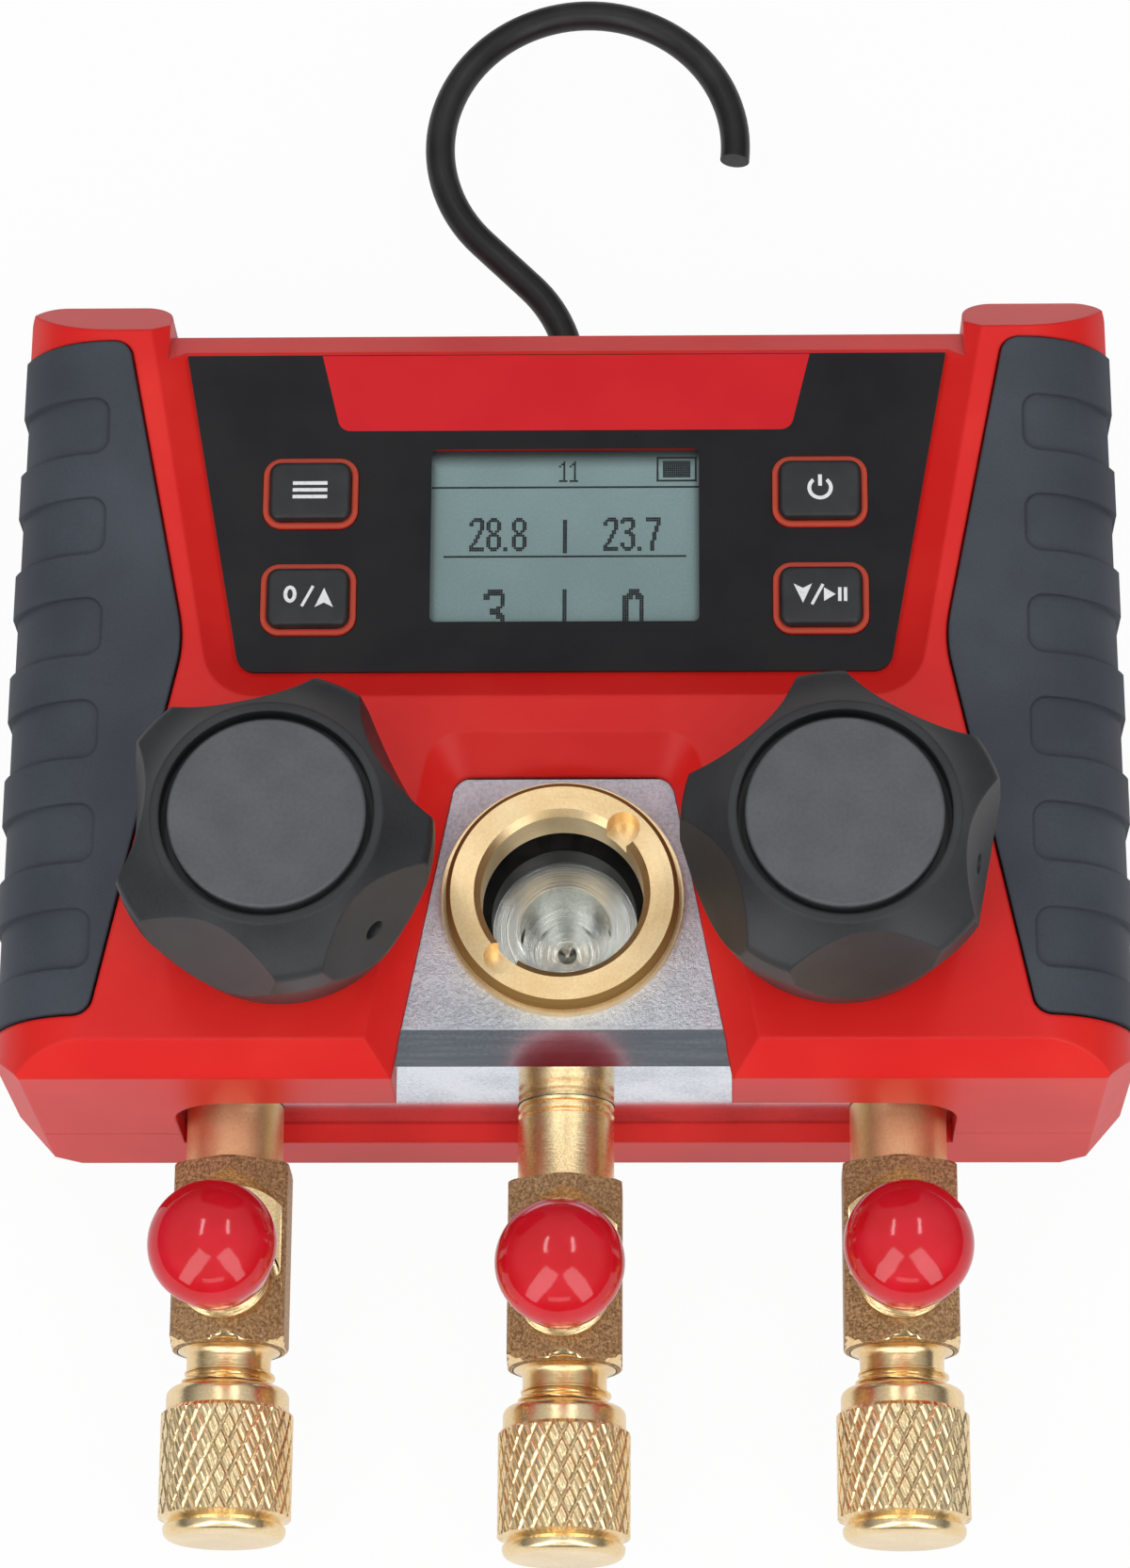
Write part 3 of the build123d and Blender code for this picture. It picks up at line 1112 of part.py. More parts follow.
with BuildPart() as hook_collar:
    with BuildSketch(Plane(origin=(0, inside_top - BUSH_FLANGE - FIT, HOOK_Z), z_dir=(0, -1, 0))):
        Circle(COLLAR_RADIUS)
        Circle(WIRE_RADIUS, mode=Mode.SUBTRACT)
    extrude(amount=COLLAR_LENGTH)
hook_collar.part.label = "hook_collar"
export_step(hook_collar.part, "parts/hook_collar.step")
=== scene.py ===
from math import cos, pi, radians, sin

import bmesh
import bpy
import numpy as np
from mathutils import Matrix, Vector


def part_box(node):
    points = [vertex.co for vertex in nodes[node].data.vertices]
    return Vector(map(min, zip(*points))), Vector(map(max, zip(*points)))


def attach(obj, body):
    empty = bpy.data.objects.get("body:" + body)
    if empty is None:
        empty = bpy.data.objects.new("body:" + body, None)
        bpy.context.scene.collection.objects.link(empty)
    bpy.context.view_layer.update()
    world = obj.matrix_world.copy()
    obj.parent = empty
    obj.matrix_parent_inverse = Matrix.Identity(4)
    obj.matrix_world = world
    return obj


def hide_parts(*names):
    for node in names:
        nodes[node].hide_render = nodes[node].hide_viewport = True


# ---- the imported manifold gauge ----
# It lies on its back: +Z is out of the display, +Y runs towards the hook and +X to the right.
# Sizes are in metres, except where a comment says millimetres; MM turns millimetres into metres.
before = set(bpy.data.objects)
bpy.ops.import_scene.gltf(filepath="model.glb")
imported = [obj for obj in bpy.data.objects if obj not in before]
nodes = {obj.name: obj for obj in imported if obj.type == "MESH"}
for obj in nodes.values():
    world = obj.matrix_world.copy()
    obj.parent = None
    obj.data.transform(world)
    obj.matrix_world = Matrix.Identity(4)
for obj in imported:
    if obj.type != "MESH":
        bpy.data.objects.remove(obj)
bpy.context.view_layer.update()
MM = 0.001
SIDES = ("left", "right")

# ---- camera ----
# A long lens above the lower edge of the gauge, looking steeply down on the display.
# Swinging the world about Y, tilting it about X and rolling it about Z brings it square to the lens,
# so the camera's own turn is the transpose of that. The tilts are in degrees.
CAMERA_TILT = -19.1537
CAMERA_SWING = -1.5869
CAMERA_ROLL = -0.3653
CAMERA_AIM = Vector((0, 22, 17)) * MM
CAMERA_OFFSET = Vector((-0.415, 0, 609.5965)) * MM
LENS = 113.19
SENSOR_WIDTH = 36

camera_turn = (Matrix.Rotation(radians(CAMERA_ROLL), 3, "Z")
               @ Matrix.Rotation(radians(CAMERA_TILT), 3, "X")
               @ Matrix.Rotation(radians(CAMERA_SWING), 3, "Y")).transposed()
camera_place = Matrix.Translation(CAMERA_AIM + camera_turn @ CAMERA_OFFSET)
camera_data = bpy.data.cameras.new("camera")
camera_data.lens = LENS
camera_data.sensor_width = SENSOR_WIDTH
camera = bpy.data.objects.new("camera", camera_data)
camera.matrix_world = camera_place @ camera_turn.to_4x4()
bpy.context.scene.collection.objects.link(camera)
bpy.context.scene.camera = camera
bpy.context.scene.view_settings.view_transform = "Standard"

# ---- studio: pale floor, soft lights ----
# A white sweep that the gauge lies on, two strip lights overhead, a tall softbox each side below
# the gauge and one behind the camera. The camera sees the sweep white; the room darkens downwards.
FLOOR_SIZE = 3.0
FLOOR_DROP = 0.05 * MM
FLOOR_SHADE = 0.72
FLOOR_SEEN = 0.96
FLOOR_MIRRORED = 0.72
SKY_TOP = 0.58
SKY_EDGE = 0.12
# Each light's place, its width and height, and its power in watts.
LIGHTS = {"left_strip": ((-0.25, 0.33, 0.95), (0.06, 0.34), 0.50),
          "right_strip": ((0.25, 0.33, 0.95), (0.06, 0.34), 0.50),
          "left_softbox": ((-0.44, -0.54, 0.68), (0.32, 1.25), 3.6),
          "right_softbox": ((0.44, -0.54, 0.68), (0.32, 1.25), 3.6),
          "front_softbox": ((0.0, -0.85, 0.62), (0.5, 0.20), 0.5)}


class Wire:
    """A socket in a shader tree. Sums and products of wires and numbers add Math nodes."""

    def __init__(self, tree, socket=None):
        self.tree = tree
        self.socket = socket

    def make(self, kind, settings=None, inputs=None, output=0):
        """Adds one node: its settings first, then a value or a wire for each named input."""
        node = self.tree.nodes.new("ShaderNode" + kind)
        for name, value in (settings or {}).items():
            setattr(node, name, value)
        for name, value in (inputs or {}).items():
            if isinstance(value, Wire):
                self.tree.links.new(value.socket, node.inputs[name])
            else:
                node.inputs[name].default_value = value
        return Wire(self.tree, node.outputs[output])

    def math(self, operation, other=0.0):
        """A Math node of this wire and, where it takes two, another wire or a number."""
        return self.make("Math", {"operation": operation}, {0: self, 1: other})

    def __add__(self, other):
        return self.math("ADD", other)

    def __sub__(self, other):
        return self.math("SUBTRACT", other)

    def __rsub__(self, other):
        return (self * -1.0) + other

    def __mul__(self, other):
        return self.math("MULTIPLY", other)

    def __gt__(self, other):
        return self.math("GREATER_THAN", other)

    def __lt__(self, other):
        return self.math("LESS_THAN", other)

    def ramp(self, low, high):
        """0 below low, 1 above high, smooth between."""
        settings = {"interpolation_type": "SMOOTHSTEP"}
        inputs = {"Value": self, "From Min": low, "From Max": high}
        return self.make("MapRange", settings, inputs)

    def mix(self, first, second):
        """The first colour where this wire is 0, the second where it is 1."""
        inputs = {0: self, 6: first if isinstance(first, Wire) else (*first, 1),
                  7: second if isinstance(second, Wire) else (*second, 1)}
        return self.make("Mix", {"data_type": "RGBA"}, inputs, output=2)

    def noise(self, size, detail=2.0, roughness=0.5):
        """Cloudy noise from 0 to 1 whose blotches are about this large, in metres."""
        inputs = {"Vector": self, "Scale": 1 / size, "Detail": detail, "Roughness": roughness}
        return self.make("TexNoise", None, inputs)

    def split(self):
        """The X, Y and Z of a vector."""
        parts = self.make("SeparateXYZ", None, {0: self}).socket.node.outputs
        return [Wire(self.tree, part) for part in parts]

    def bump(self, height, edge=0.0):
        """A surface normal bent by height, its edges rounded by edge; both are in metres."""
        inputs = {"Height": height, "Strength": 1.0, "Distance": 1.0}
        if edge:
            inputs["Normal"] = self.make("Bevel", {"samples": 4}, {"Radius": edge})
        return self.make("Bump", None, inputs)


def finish(name, base, **constants):
    """A new material with constants on its shader's sockets. Returns it and its Object coordinates."""
    made = bpy.data.materials.new(name)
    made.use_nodes = True
    shader = made.node_tree.nodes["Principled BSDF"]
    shader.inputs["Base Color"].default_value = (*base, 1)
    for key, value in constants.items():
        socket_name = key.replace("_", " ").title().replace("Ior", "IOR")
        shader.inputs[socket_name].default_value = value
    return made, Wire(made.node_tree).make("TexCoord", output="Object")


def wear(made, **wires):
    """Links what changes over the surface to the material's shader."""
    shader = made.node_tree.nodes["Principled BSDF"]
    for key, wire in wires.items():
        made.node_tree.links.new(wire.socket, shader.inputs[key.replace("_", " ").title()])


def dress(made, *names):
    """Gives CAD nodes this material."""
    for name in names:
        slots = nodes[name].material_slots
        if not slots:
            nodes[name].data.materials.append(made)
        for slot in slots:
            slot.material = made


floor_mesh = bpy.data.meshes.new("floor")
floor_points = [(x * FLOOR_SIZE / 2, y * FLOOR_SIZE / 2, -FLOOR_DROP)
                for x, y in ((-1, -1), (1, -1), (1, 1), (-1, 1))]
floor_mesh.from_pydata(floor_points, [], [(0, 1, 2, 3)])
floor = bpy.data.objects.new("floor", floor_mesh)
bpy.context.scene.collection.objects.link(floor)

floor_finish, _ = finish("studio_paper", (FLOOR_SHADE,) * 3, roughness=0.9)
paper = Wire(floor_finish.node_tree, floor_finish.node_tree.nodes["Principled BSDF"].outputs[0])
rays = paper.make("LightPath").socket.node.outputs
glossy, through, direct = (Wire(paper.tree, rays[f"Is {kind} Ray"])
                           for kind in ("Glossy", "Transmission", "Camera"))
mirrored = glossy.math("MAXIMUM", through)
white_share = (direct * FLOOR_SEEN).math("MAXIMUM", mirrored * FLOOR_MIRRORED)
white = paper.make("Emission", None, {"Color": (1, 1, 1, 1), "Strength": 1.0})
paper_seen = paper.make("MixShader", None, {0: white_share, 1: paper, 2: white})
paper.tree.links.new(paper_seen.socket, paper.tree.nodes["Material Output"].inputs[0])
floor_mesh.materials.append(floor_finish)

world = bpy.data.worlds.new("studio")
world.use_nodes = True
towards = Wire(world.node_tree).make("TexCoord")
height = towards.split()[2].ramp(0.1, 0.8)
sky_shade = height.mix((SKY_EDGE,) * 3, (SKY_TOP,) * 3)
seen = Wire(world.node_tree, towards.make("LightPath").socket.node.outputs["Is Camera Ray"])
sky_seen = seen.mix(sky_shade, (FLOOR_SEEN,) * 3)
world.node_tree.links.new(sky_seen.socket, world.node_tree.nodes["Background"].inputs["Color"])
bpy.context.scene.world = world

for light_name, (place, size, power) in LIGHTS.items():
    light = bpy.data.lights.new(light_name, "AREA")
    light.shape = "RECTANGLE"
    light.size, light.size_y = size
    light.energy = power
    lamp = bpy.data.objects.new(light_name, light)
    lamp.location = place
    if "strip" not in light_name:
        lamp.rotation_euler = (Vector(place) - CAMERA_AIM).to_track_quat("Z", "Y").to_euler()
    bpy.context.scene.collection.objects.link(lamp)

# ---- housing shells ----
# Two injection-moulded shells and the battery door in bright red ABS, screwed together from the back.
# The tool was spark eroded, which leaves a fine even grain and a satin sheen.
SHELL_RED = (0.720, 0.012, 0.010)
SHELL_RUBBED = (0.780, 0.024, 0.017)
KEY_FRAME_RED = (0.520, 0.060, 0.030)
KEY_FRAMES = ((24.9, 36.8), (32.8, 56.1))  # the keys' frames lie between these X and Y, in mm
KEY_FRAME_ABOVE = 0.15 * MM  # and stand more than this above the overlay
SHELL_GRAIN = 0.22 * MM
SHELL_EDGE = 0.55 * MM

shell_finish, place = finish("moulded_red", SHELL_RED, roughness=0.42, specular_ior_level=0.28)
x, y, z = place.split()
overlay_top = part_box("display_overlay")[1].z
at_keys = (x.math("ABSOLUTE") > KEY_FRAMES[0][0] * MM) * (x.math("ABSOLUTE") < KEY_FRAMES[0][1] * MM)
at_keys = at_keys * (y > KEY_FRAMES[1][0] * MM) * (y < KEY_FRAMES[1][1] * MM)
at_keys = at_keys * (z > overlay_top + KEY_FRAME_ABOVE)
grain = place.noise(SHELL_GRAIN, 2.0)
cloud = place.noise(18 * MM, 3.0)
shell_colour = cloud.ramp(0.35, 0.75).mix(SHELL_RED, SHELL_RUBBED)
wear(shell_finish, base_color=at_keys.mix(shell_colour, KEY_FRAME_RED),
     roughness=grain * 0.10 + 0.37, normal=place.bump(grain * 0.012 * MM, SHELL_EDGE))
dress(shell_finish, "front_housing", "rear_housing", "battery_door")

# ---- rubber grips ----
# Soft grey-black rubber moulded over both sides, with six sunken finger pads each.
# Its surface is matt with a very fine leathery grain that catches a little dust.
GRIP_GREY = (0.040, 0.047, 0.060)
GRIP_DUSTY = (0.066, 0.077, 0.096)
GRIP_GRAIN = 0.30 * MM
GRIP_EDGE = 0.5 * MM

grip_finish, place = finish("grip_rubber", GRIP_GREY, roughness=0.62, specular_ior_level=0.32)
grain = place.noise(GRIP_GRAIN, 3.0, 0.6)
cloud = place.noise(14 * MM, 4.0)
wear(grip_finish, base_color=(cloud * 0.6 + grain * 0.4).ramp(0.3, 0.8).mix(GRIP_GREY, GRIP_DUSTY),
     roughness=grain * 0.15 + 0.52, normal=place.bump(grain * 0.02 * MM, GRIP_EDGE))
dress(grip_finish, "left_grip", "right_grip")

# ---- display overlay ----
# A black printed polyester film glued to the display floor. It is smooth with a soft gloss, and a
# bare crimson tab is printed at its top.
TAB_TOP = 69.6 * MM
TAB_BOTTOM = 59.6 * MM
TAB_TOP_HALF = 29.8 * MM
TAB_BOTTOM_HALF = 27.4 * MM
TAB_ROUND = 1.6 * MM
PRINT_LIFT = 0.02 * MM
CRIMSON = (0.600, 0.007, 0.013)
CRIMSON_PALE = (0.640, 0.011, 0.017)
FILM_BLACK = (0.0060, 0.0060, 0.0085)
FILM_GREY = (0.0105, 0.0105, 0.012)


def mount(name, mesh, body, material):
    """An object for this mesh, in one material, that rides on a body."""
    mesh.materials.append(material)
    piece = bpy.data.objects.new(name, mesh)
    bpy.context.scene.collection.objects.link(piece)
    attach(piece, body)
    return piece


def add_piece(name, points, faces, body, material, smooth=None):
    """A mesh piece. Doubled points are merged, which closes its seam and its ends. With smooth, only
    edges sharper than this many degrees stay hard."""
    mesh = bpy.data.meshes.new(name)
    mesh.from_pydata(points, [], faces)
    form = bmesh.new()
    form.from_mesh(mesh)
    bmesh.ops.remove_doubles(form, verts=form.verts, dist=1e-7)
    bmesh.ops.dissolve_degenerate(form, edges=form.edges, dist=1e-8)
    bmesh.ops.recalc_face_normals(form, faces=form.faces)
    form.to_mesh(mesh)
    form.free()
    if smooth is not None:
        mesh.shade_smooth()
        mesh.set_sharp_from_angle(angle=radians(smooth))
    return mount(name, mesh, body, material)


def ring_faces(rows, columns):
    """Quads between the neighbouring points of a grid whose last column joins its first."""
    index = np.arange(rows * columns).reshape(rows, columns)
    index = np.hstack([index, index[:, :1]])
    corners = [index[:-1, :-1], index[1:, :-1], index[1:, 1:], index[:-1, 1:]]
    return np.stack(corners, axis=-1).reshape(-1, 4)


def print_patch(name, outline, height, body, material):
    """A flat printed shape: one face through the outline's (x, y) points, at this height. An outline
    with a negative area runs clockwise and is turned round, so that the face looks to +Z."""
    outline = np.asarray(outline, float)
    x, y = outline.T
    if np.sum(x * np.roll(y, -1) - y * np.roll(x, -1)) < 0:
        outline = outline[::-1]
    points = np.column_stack([outline, np.full(len(outline), height)])
    mesh = bpy.data.meshes.new(name)
    mesh.from_pydata(points, [], [list(range(len(outline)))])
    return mount(name, mesh, body, material)


def rounded_corner(before, corner, after, radius, steps):
    """Points on the arc of this radius that rounds a corner of an outline. Its centre lies on the line
    that halves the corner, and its points share out the angle between its ends."""
    before, corner, after = (np.asarray(p, float) for p in (before, corner, after))
    way_in = (before - corner) / np.linalg.norm(before - corner)
    way_out = (after - corner) / np.linalg.norm(after - corner)
    half_angle = np.arccos(np.clip(way_in @ way_out, -1, 1)) / 2
    middle = (way_in + way_out) / np.linalg.norm(way_in + way_out)
    centre = corner + middle * radius / np.sin(half_angle)
    start = corner + way_in * radius / np.tan(half_angle) - centre
    end = corner + way_out * radius / np.tan(half_angle) - centre
    sweep = np.arccos(np.clip(start @ end / radius ** 2, -1, 1))
    share = np.linspace(0, 1, steps)[:, None]
    return centre + (np.sin((1 - share) * sweep) * start + np.sin(share * sweep) * end) / np.sin(sweep)


def rounded_outline(corners, radii, steps=8):
    """A closed outline whose corners are rounded by these radii; a radius of 0 keeps the corner."""
    pieces = []
    for i, (corner, radius) in enumerate(zip(corners, radii)):
        after = corners[(i + 1) % len(corners)]
        if radius:
            pieces.append(rounded_corner(corners[i - 1], corner, after, radius, steps))
        else:
            pieces.append(np.array([corner], float))
    return np.vstack(pieces)


film_finish, place = finish("printed_film", FILM_BLACK, roughness=0.3, specular_ior_level=0.2)
grain = place.noise(0.5 * MM, 2.0)
wear(film_finish, base_color=place.noise(9 * MM).ramp(0.3, 0.7).mix(FILM_BLACK, FILM_GREY),
     roughness=grain * 0.12 + 0.24, normal=place.bump(grain * 0.003 * MM))
dress(film_finish, "display_overlay")

tab_finish, place = finish("crimson_print", CRIMSON, roughness=0.36, specular_ior_level=0.2)
grain = place.noise(0.4 * MM, 2.0)
wear(tab_finish, base_color=place.noise(12 * MM).ramp(0.3, 0.7).mix(CRIMSON, CRIMSON_PALE),
     roughness=grain * 0.10 + 0.31, normal=place.bump(grain * 0.003 * MM))
tab_corners = [(-TAB_TOP_HALF, TAB_TOP), (-TAB_BOTTOM_HALF, TAB_BOTTOM),
               (TAB_BOTTOM_HALF, TAB_BOTTOM), (TAB_TOP_HALF, TAB_TOP)]
tab = print_patch("overlay_tab", rounded_outline(tab_corners, (0, TAB_ROUND, TAB_ROUND, 0)),
                  overlay_top + PRINT_LIFT, "root", tab_finish)

# ---- display: window and liquid crystal ----
# A clear acrylic window over a grey-green reflective display. Its segments are small square dots.
# Only plain numbers, a charge symbol and dividing lines are shown; a printed mask frames the window.
LCD_GREEN = (0.350, 0.500, 0.505)
LCD_SHADE = (0.290, 0.420, 0.425)
LCD_PAINTED_SHADOW = (0.012, 0.012, 0.014)
DOT_INK = (0.012, 0.012, 0.018)
DOT_INK_PALE = (0.026, 0.024, 0.034)
DOT_COLUMNS = 128
DOT_ROWS = 84
DOT_FILL = 0.92
MASK_OVERLAP = 0.28 * MM
MASK_REACH = 1.2 * MM
MASK_ROUND = 0.7 * MM
TOP_SHADE = 2.6 * MM  # painted shadow of the window's edges reaches this far into the display
SIDE_SHADE = 1.3 * MM

window_low, window_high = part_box("display_window")
glass_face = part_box("lcd_module")[1].z
window_finish, place = finish("clear_window", (0.02, 0.02, 0.02), roughness=0.05, alpha=0.10,
                              specular_ior_level=0.3)
wear(window_finish, roughness=place.noise(4 * MM) * 0.06 + 0.03)
dress(window_finish, "display_window")
window_finish.surface_render_method = "BLENDED"

lcd_finish, place = finish("liquid_crystal", LCD_GREEN, roughness=0.45, specular_ior_level=0.2)
x, y, z = place.split()
fine = place.noise(0.3 * MM, 2.0)
cloud = (place.noise(11 * MM) * 0.5 + fine * 0.5).ramp(0.3, 0.75)
# The display's colour darkens under the window's top edge and, less, along its sides: a painted shadow
# of the window's edges.
painted_top_shadow = y.ramp(window_high.y - TOP_SHADE, window_high.y)
painted_side_shadow = x.math("ABSOLUTE").ramp(window_high.x - SIDE_SHADE, window_high.x) * 0.45
shade = painted_top_shadow.math("MAXIMUM", painted_side_shadow) * 0.9
wear(lcd_finish, base_color=shade.mix(cloud.mix(LCD_SHADE, LCD_GREEN), LCD_PAINTED_SHADOW),
     roughness=fine * 0.2 + 0.35)
dress(lcd_finish, "lcd_module")

mask_low = np.array([window_low.x, window_low.y]) + MASK_OVERLAP
mask_high = np.array([window_high.x, window_high.y]) - MASK_OVERLAP
corner_sides = np.array([(-1, 1), (-1, -1), (1, -1), (1, 1)])
opening_corners = np.where(corner_sides > 0, mask_high, mask_low)
mask_inner = rounded_outline(opening_corners, [MASK_ROUND] * 4)
mask_outer = rounded_outline(opening_corners + corner_sides * MASK_REACH, [MASK_ROUND] * 4)
mask_outline = np.vstack([mask_outer, mask_inner])
mask_points = np.column_stack([mask_outline, np.full(len(mask_outline), overlay_top + PRINT_LIFT)])
mask_faces = ring_faces(2, len(mask_inner))
window_mask = add_piece("window_mask", mask_points, mask_faces, "root", film_finish)

# A figure is sixteen rows of seven dots, top row first; the narrow 1 is ten rows of four.
FIGURES = {"0": "0011100 0111110 1110111 " + "1100011 " * 10 + "1110111 0111110 0011100",
           "2": "0011110 0111111 1100011 1100011 0000011 0000011 0000110 0000110 "
                "0001100 0001100 0011000 0011000 0110000 1100000 1111111 1111111",
           "3": "0111110 1111111 1100011 0000011 0000011 0000110 0011100 0011110 "
                "0000111 0000011 0000011 0000011 1100011 1100011 0111110 0011100",
           "7": ("1111111 " * 2 + "0000011 " * 2 + "0000110 " * 3 + "0001100 " * 4
                 + "0011000 " * 5),
           "8": ("0011100 0111110 " + "1100011 " * 4 + "0110110 0011100 0111110 "
                 + "1100011 " * 5 + "0111110 0011100"),
           "1": "0010 0110 1010 " + "0010 " * 6 + "1111",
           ".": "00 " * 14 + "11 11"}


def figure_dots(text, left, top, size=1.0):
    """Columns and rows of a number's dots, from its upper left dot; size repeats dots to enlarge it."""
    spots = []
    for letter in text:
        rows = np.array([[int(dot) for dot in row] for row in FIGURES[letter].split()])
        pick_row = (np.arange(int(rows.shape[0] * size)) / size).astype(int)
        pick_column = (np.arange(int(rows.shape[1] * size)) / size).astype(int)
        row, column = np.nonzero(rows[pick_row][:, pick_column])
        spots.append(np.column_stack([left + column, top + row]))
        left += len(pick_column) + (2 if letter == "." else 1)
    return np.vstack(spots)


def block_dots(left, top, width, height):
    """Columns and rows of a filled block of dots."""
    column, row = np.meshgrid(np.arange(left, left + width), np.arange(top, top + height))
    return np.column_stack([column.ravel(), row.ravel()])


# Figures, dividing lines, then the frame and filling of the charge symbol. The lowest figures run out
# under the window's edge, so their last rows are left off.
dots = np.vstack([
    figure_dots("11", 61, 5), figure_dots("28.8", 19, 32), figure_dots("23.7", 82, 32),
    figure_dots("3", 26, 66, 1.5), figure_dots("0", 91, 66, 1.5),
    block_dots(1, 17, 126, 1), block_dots(7, 50, 114, 1),
    block_dots(63, 33, 2, 16), block_dots(63, 66, 2, 18),
    block_dots(107, 3, 19, 1), block_dots(107, 14, 19, 1),
    block_dots(107, 3, 1, 12), block_dots(125, 3, 1, 12), block_dots(110, 5, 13, 8)])
dots = dots[dots[:, 1] < DOT_ROWS]
dot_width = (window_high.x - window_low.x) / DOT_COLUMNS
dot_height = (window_high.y - window_low.y) / DOT_ROWS
corner_steps = np.array([(0, 0), (1, 0), (1, 1), (0, 1)]) * DOT_FILL
dot_corners = (dots[:, None, :] + corner_steps[None]).reshape(-1, 2)
dot_points = np.column_stack([window_low.x + dot_corners[:, 0] * dot_width,
                              window_high.y - dot_corners[:, 1] * dot_height,
                              np.full(len(dot_corners), glass_face + PRINT_LIFT)])
ink_finish, place = finish("lcd_ink", DOT_INK, roughness=0.5, alpha=0.9, specular_ior_level=0.2)
wear(ink_finish, base_color=place.noise(3 * MM).mix(DOT_INK, DOT_INK_PALE))
dot_faces = np.arange(len(dot_corners)).reshape(-1, 4)[:, ::-1]
dot_mesh = bpy.data.meshes.new("lcd_figures")
dot_mesh.from_pydata(dot_points, [], dot_faces)
lcd_figures = mount("lcd_figures", dot_mesh, "root", ink_finish)

# ---- keys ----
# Four black silicone keys that stand in moulded frames; a thin orange-red line of bare moulding shows
# round each. Their tops carry plain white printed signs. The heads' sizes are in millimetres.
KEY_BLACK = (0.0145, 0.0150, 0.0170)
KEY_SHEEN = (0.022, 0.023, 0.026)
KEY_EDGE = 0.35 * MM
KEY_PRINT = (0.80, 0.81, 0.82)
KEY_PRINT_WORN = (0.62, 0.63, 0.64)
SIGN_SIZE = 2.1 * MM
SIGN_LINE = 0.46 * MM
HEAD_SIZE = (9.86, 7.46)
HEAD_PROUD = 1.45
HEAD_FOOT = 0.6
HEAD_CORNER = 1.3
HEAD_EDGE = 0.55

key_finish, place = finish("key_silicone", KEY_BLACK, roughness=0.42, specular_ior_level=0.4)
grain = place.noise(0.25 * MM, 3.0)
wear(key_finish, base_color=place.noise(3 * MM).ramp(0.3, 0.8).mix(KEY_BLACK, KEY_SHEEN),
     roughness=grain * 0.2 + 0.34, normal=place.bump(grain * 0.008 * MM, KEY_EDGE))
print_finish, place = finish("white_print", KEY_PRINT, roughness=0.55)
worn = place.noise(0.4 * MM, 3.0).ramp(0.2, 0.5)
wear(print_finish, base_color=worn.mix(KEY_PRINT_WORN, KEY_PRINT))


def band(start, end, width):
    """Outline of a straight line of this width."""
    start, end = np.array(start, float), np.array(end, float)
    along = (end - start) / np.linalg.norm(end - start)
    across = np.array([-along[1], along[0]]) * width / 2
    return np.array([start - across, end - across, end + across, start + across])


def arc_band(centre, radius, width, first, last, steps=40):
    """Outline of an arc line from angle first to angle last, in degrees."""
    turn = np.radians(np.linspace(first, last, steps))[:, None]
    ray = np.hstack([np.cos(turn), np.sin(turn)])
    return np.vstack([ray * (radius + width / 2), ray[::-1] * (radius - width / 2)]) + np.array(centre)


def arrow(centre, size, up):
    """Outline of a broad arrow head with a notched foot, pointing up or down."""
    shape = np.array([(0, 1.0), (0.85, -0.9), (0, -0.45), (-0.85, -0.9)]) * size / 2
    return shape * (1, 1 if up else -1) + np.array(centre)


def ring_outline(width, height, line, steps=32):
    """Outer and inner ellipse joined at a slit, which prints as a figure nought."""
    turn = np.linspace(0, 2 * pi, steps)[:, None]
    outer = np.hstack([np.cos(turn) * width / 2, np.sin(turn) * height / 2])
    inner = np.hstack([np.cos(turn) * (width / 2 - line), np.sin(turn) * (height / 2 - line)])
    return np.vstack([outer, inner[::-1]])


# The signs: three lines; a nought, a slash and an arrow up; a ring with a stroke; an arrow down, a
# slash, a wedge and two bars.
S = SIGN_SIZE
slash = band((-0.32 * S, -0.62 * S), (0.32 * S, 0.62 * S), SIGN_LINE * 0.8)
signs = {"upper_left_key": [band((-S, y * S), (S, y * S), SIGN_LINE) for y in (-0.42, 0, 0.42)],
         "lower_left_key": [ring_outline(0.75 * S, 1.05 * S, SIGN_LINE) + (-1.0 * S, 0.12 * S),
                            slash, arrow((0.95 * S, -0.12 * S), 1.25 * S, True)],
         "upper_right_key": [arc_band((0, 0), 0.62 * S, SIGN_LINE, 128, 412),
                             band((0, 0.12 * S), (0, 0.82 * S), SIGN_LINE)],
         "lower_right_key": [arrow((-1.05 * S, 0.1 * S), 1.25 * S, False), slash + (-0.22 * S, 0),
                             np.array([(0.15, 0.42), (0.15, -0.42), (0.82, 0)]) * S,
                             band((1.05 * S, -0.42 * S), (1.05 * S, 0.42 * S), SIGN_LINE * 0.9),
                             band((1.38 * S, -0.42 * S), (1.38 * S, 0.42 * S), SIGN_LINE * 0.9)]}


def rounded_head(centre, size, foot, top, corner, edge, steps=9, lines=7):
    """A soft key head: a rounded rectangle that goes straight up from foot and is drawn in by a quarter
    circle of radius edge at the top. Each line of the grid is the outline drawn in by edge * (1 - cos a)
    at the height top - edge * (1 - sin a); both ends close in the middle."""
    half_x, half_y = size[0] / 2, size[1] / 2
    corners = [(half_x, half_y), (-half_x, half_y), (-half_x, -half_y), (half_x, -half_y)]
    outline = rounded_outline(corners, [corner] * 4, steps)
    turn = np.linspace(0, pi / 2, lines)
    inset = np.concatenate([[0], edge * (1 - np.cos(turn))])
    level = np.concatenate([[foot], top - edge * (1 - np.sin(turn))])
    shrink_x = (half_x - inset) / half_x
    shrink_y = (half_y - inset) / half_y
    points = np.stack([centre[0] + outline[None, :, 0] * shrink_x[:, None],
                       centre[1] + outline[None, :, 1] * shrink_y[:, None],
                       np.broadcast_to(level[:, None], (len(level), len(outline)))], axis=-1)
    ends = [np.broadcast_to([centre[0], centre[1], z], (1, len(outline), 3)) for z in (foot, top)]
    points = np.concatenate([ends[0], points, ends[1]])
    return points.reshape(-1, 3), ring_faces(len(points), len(outline))


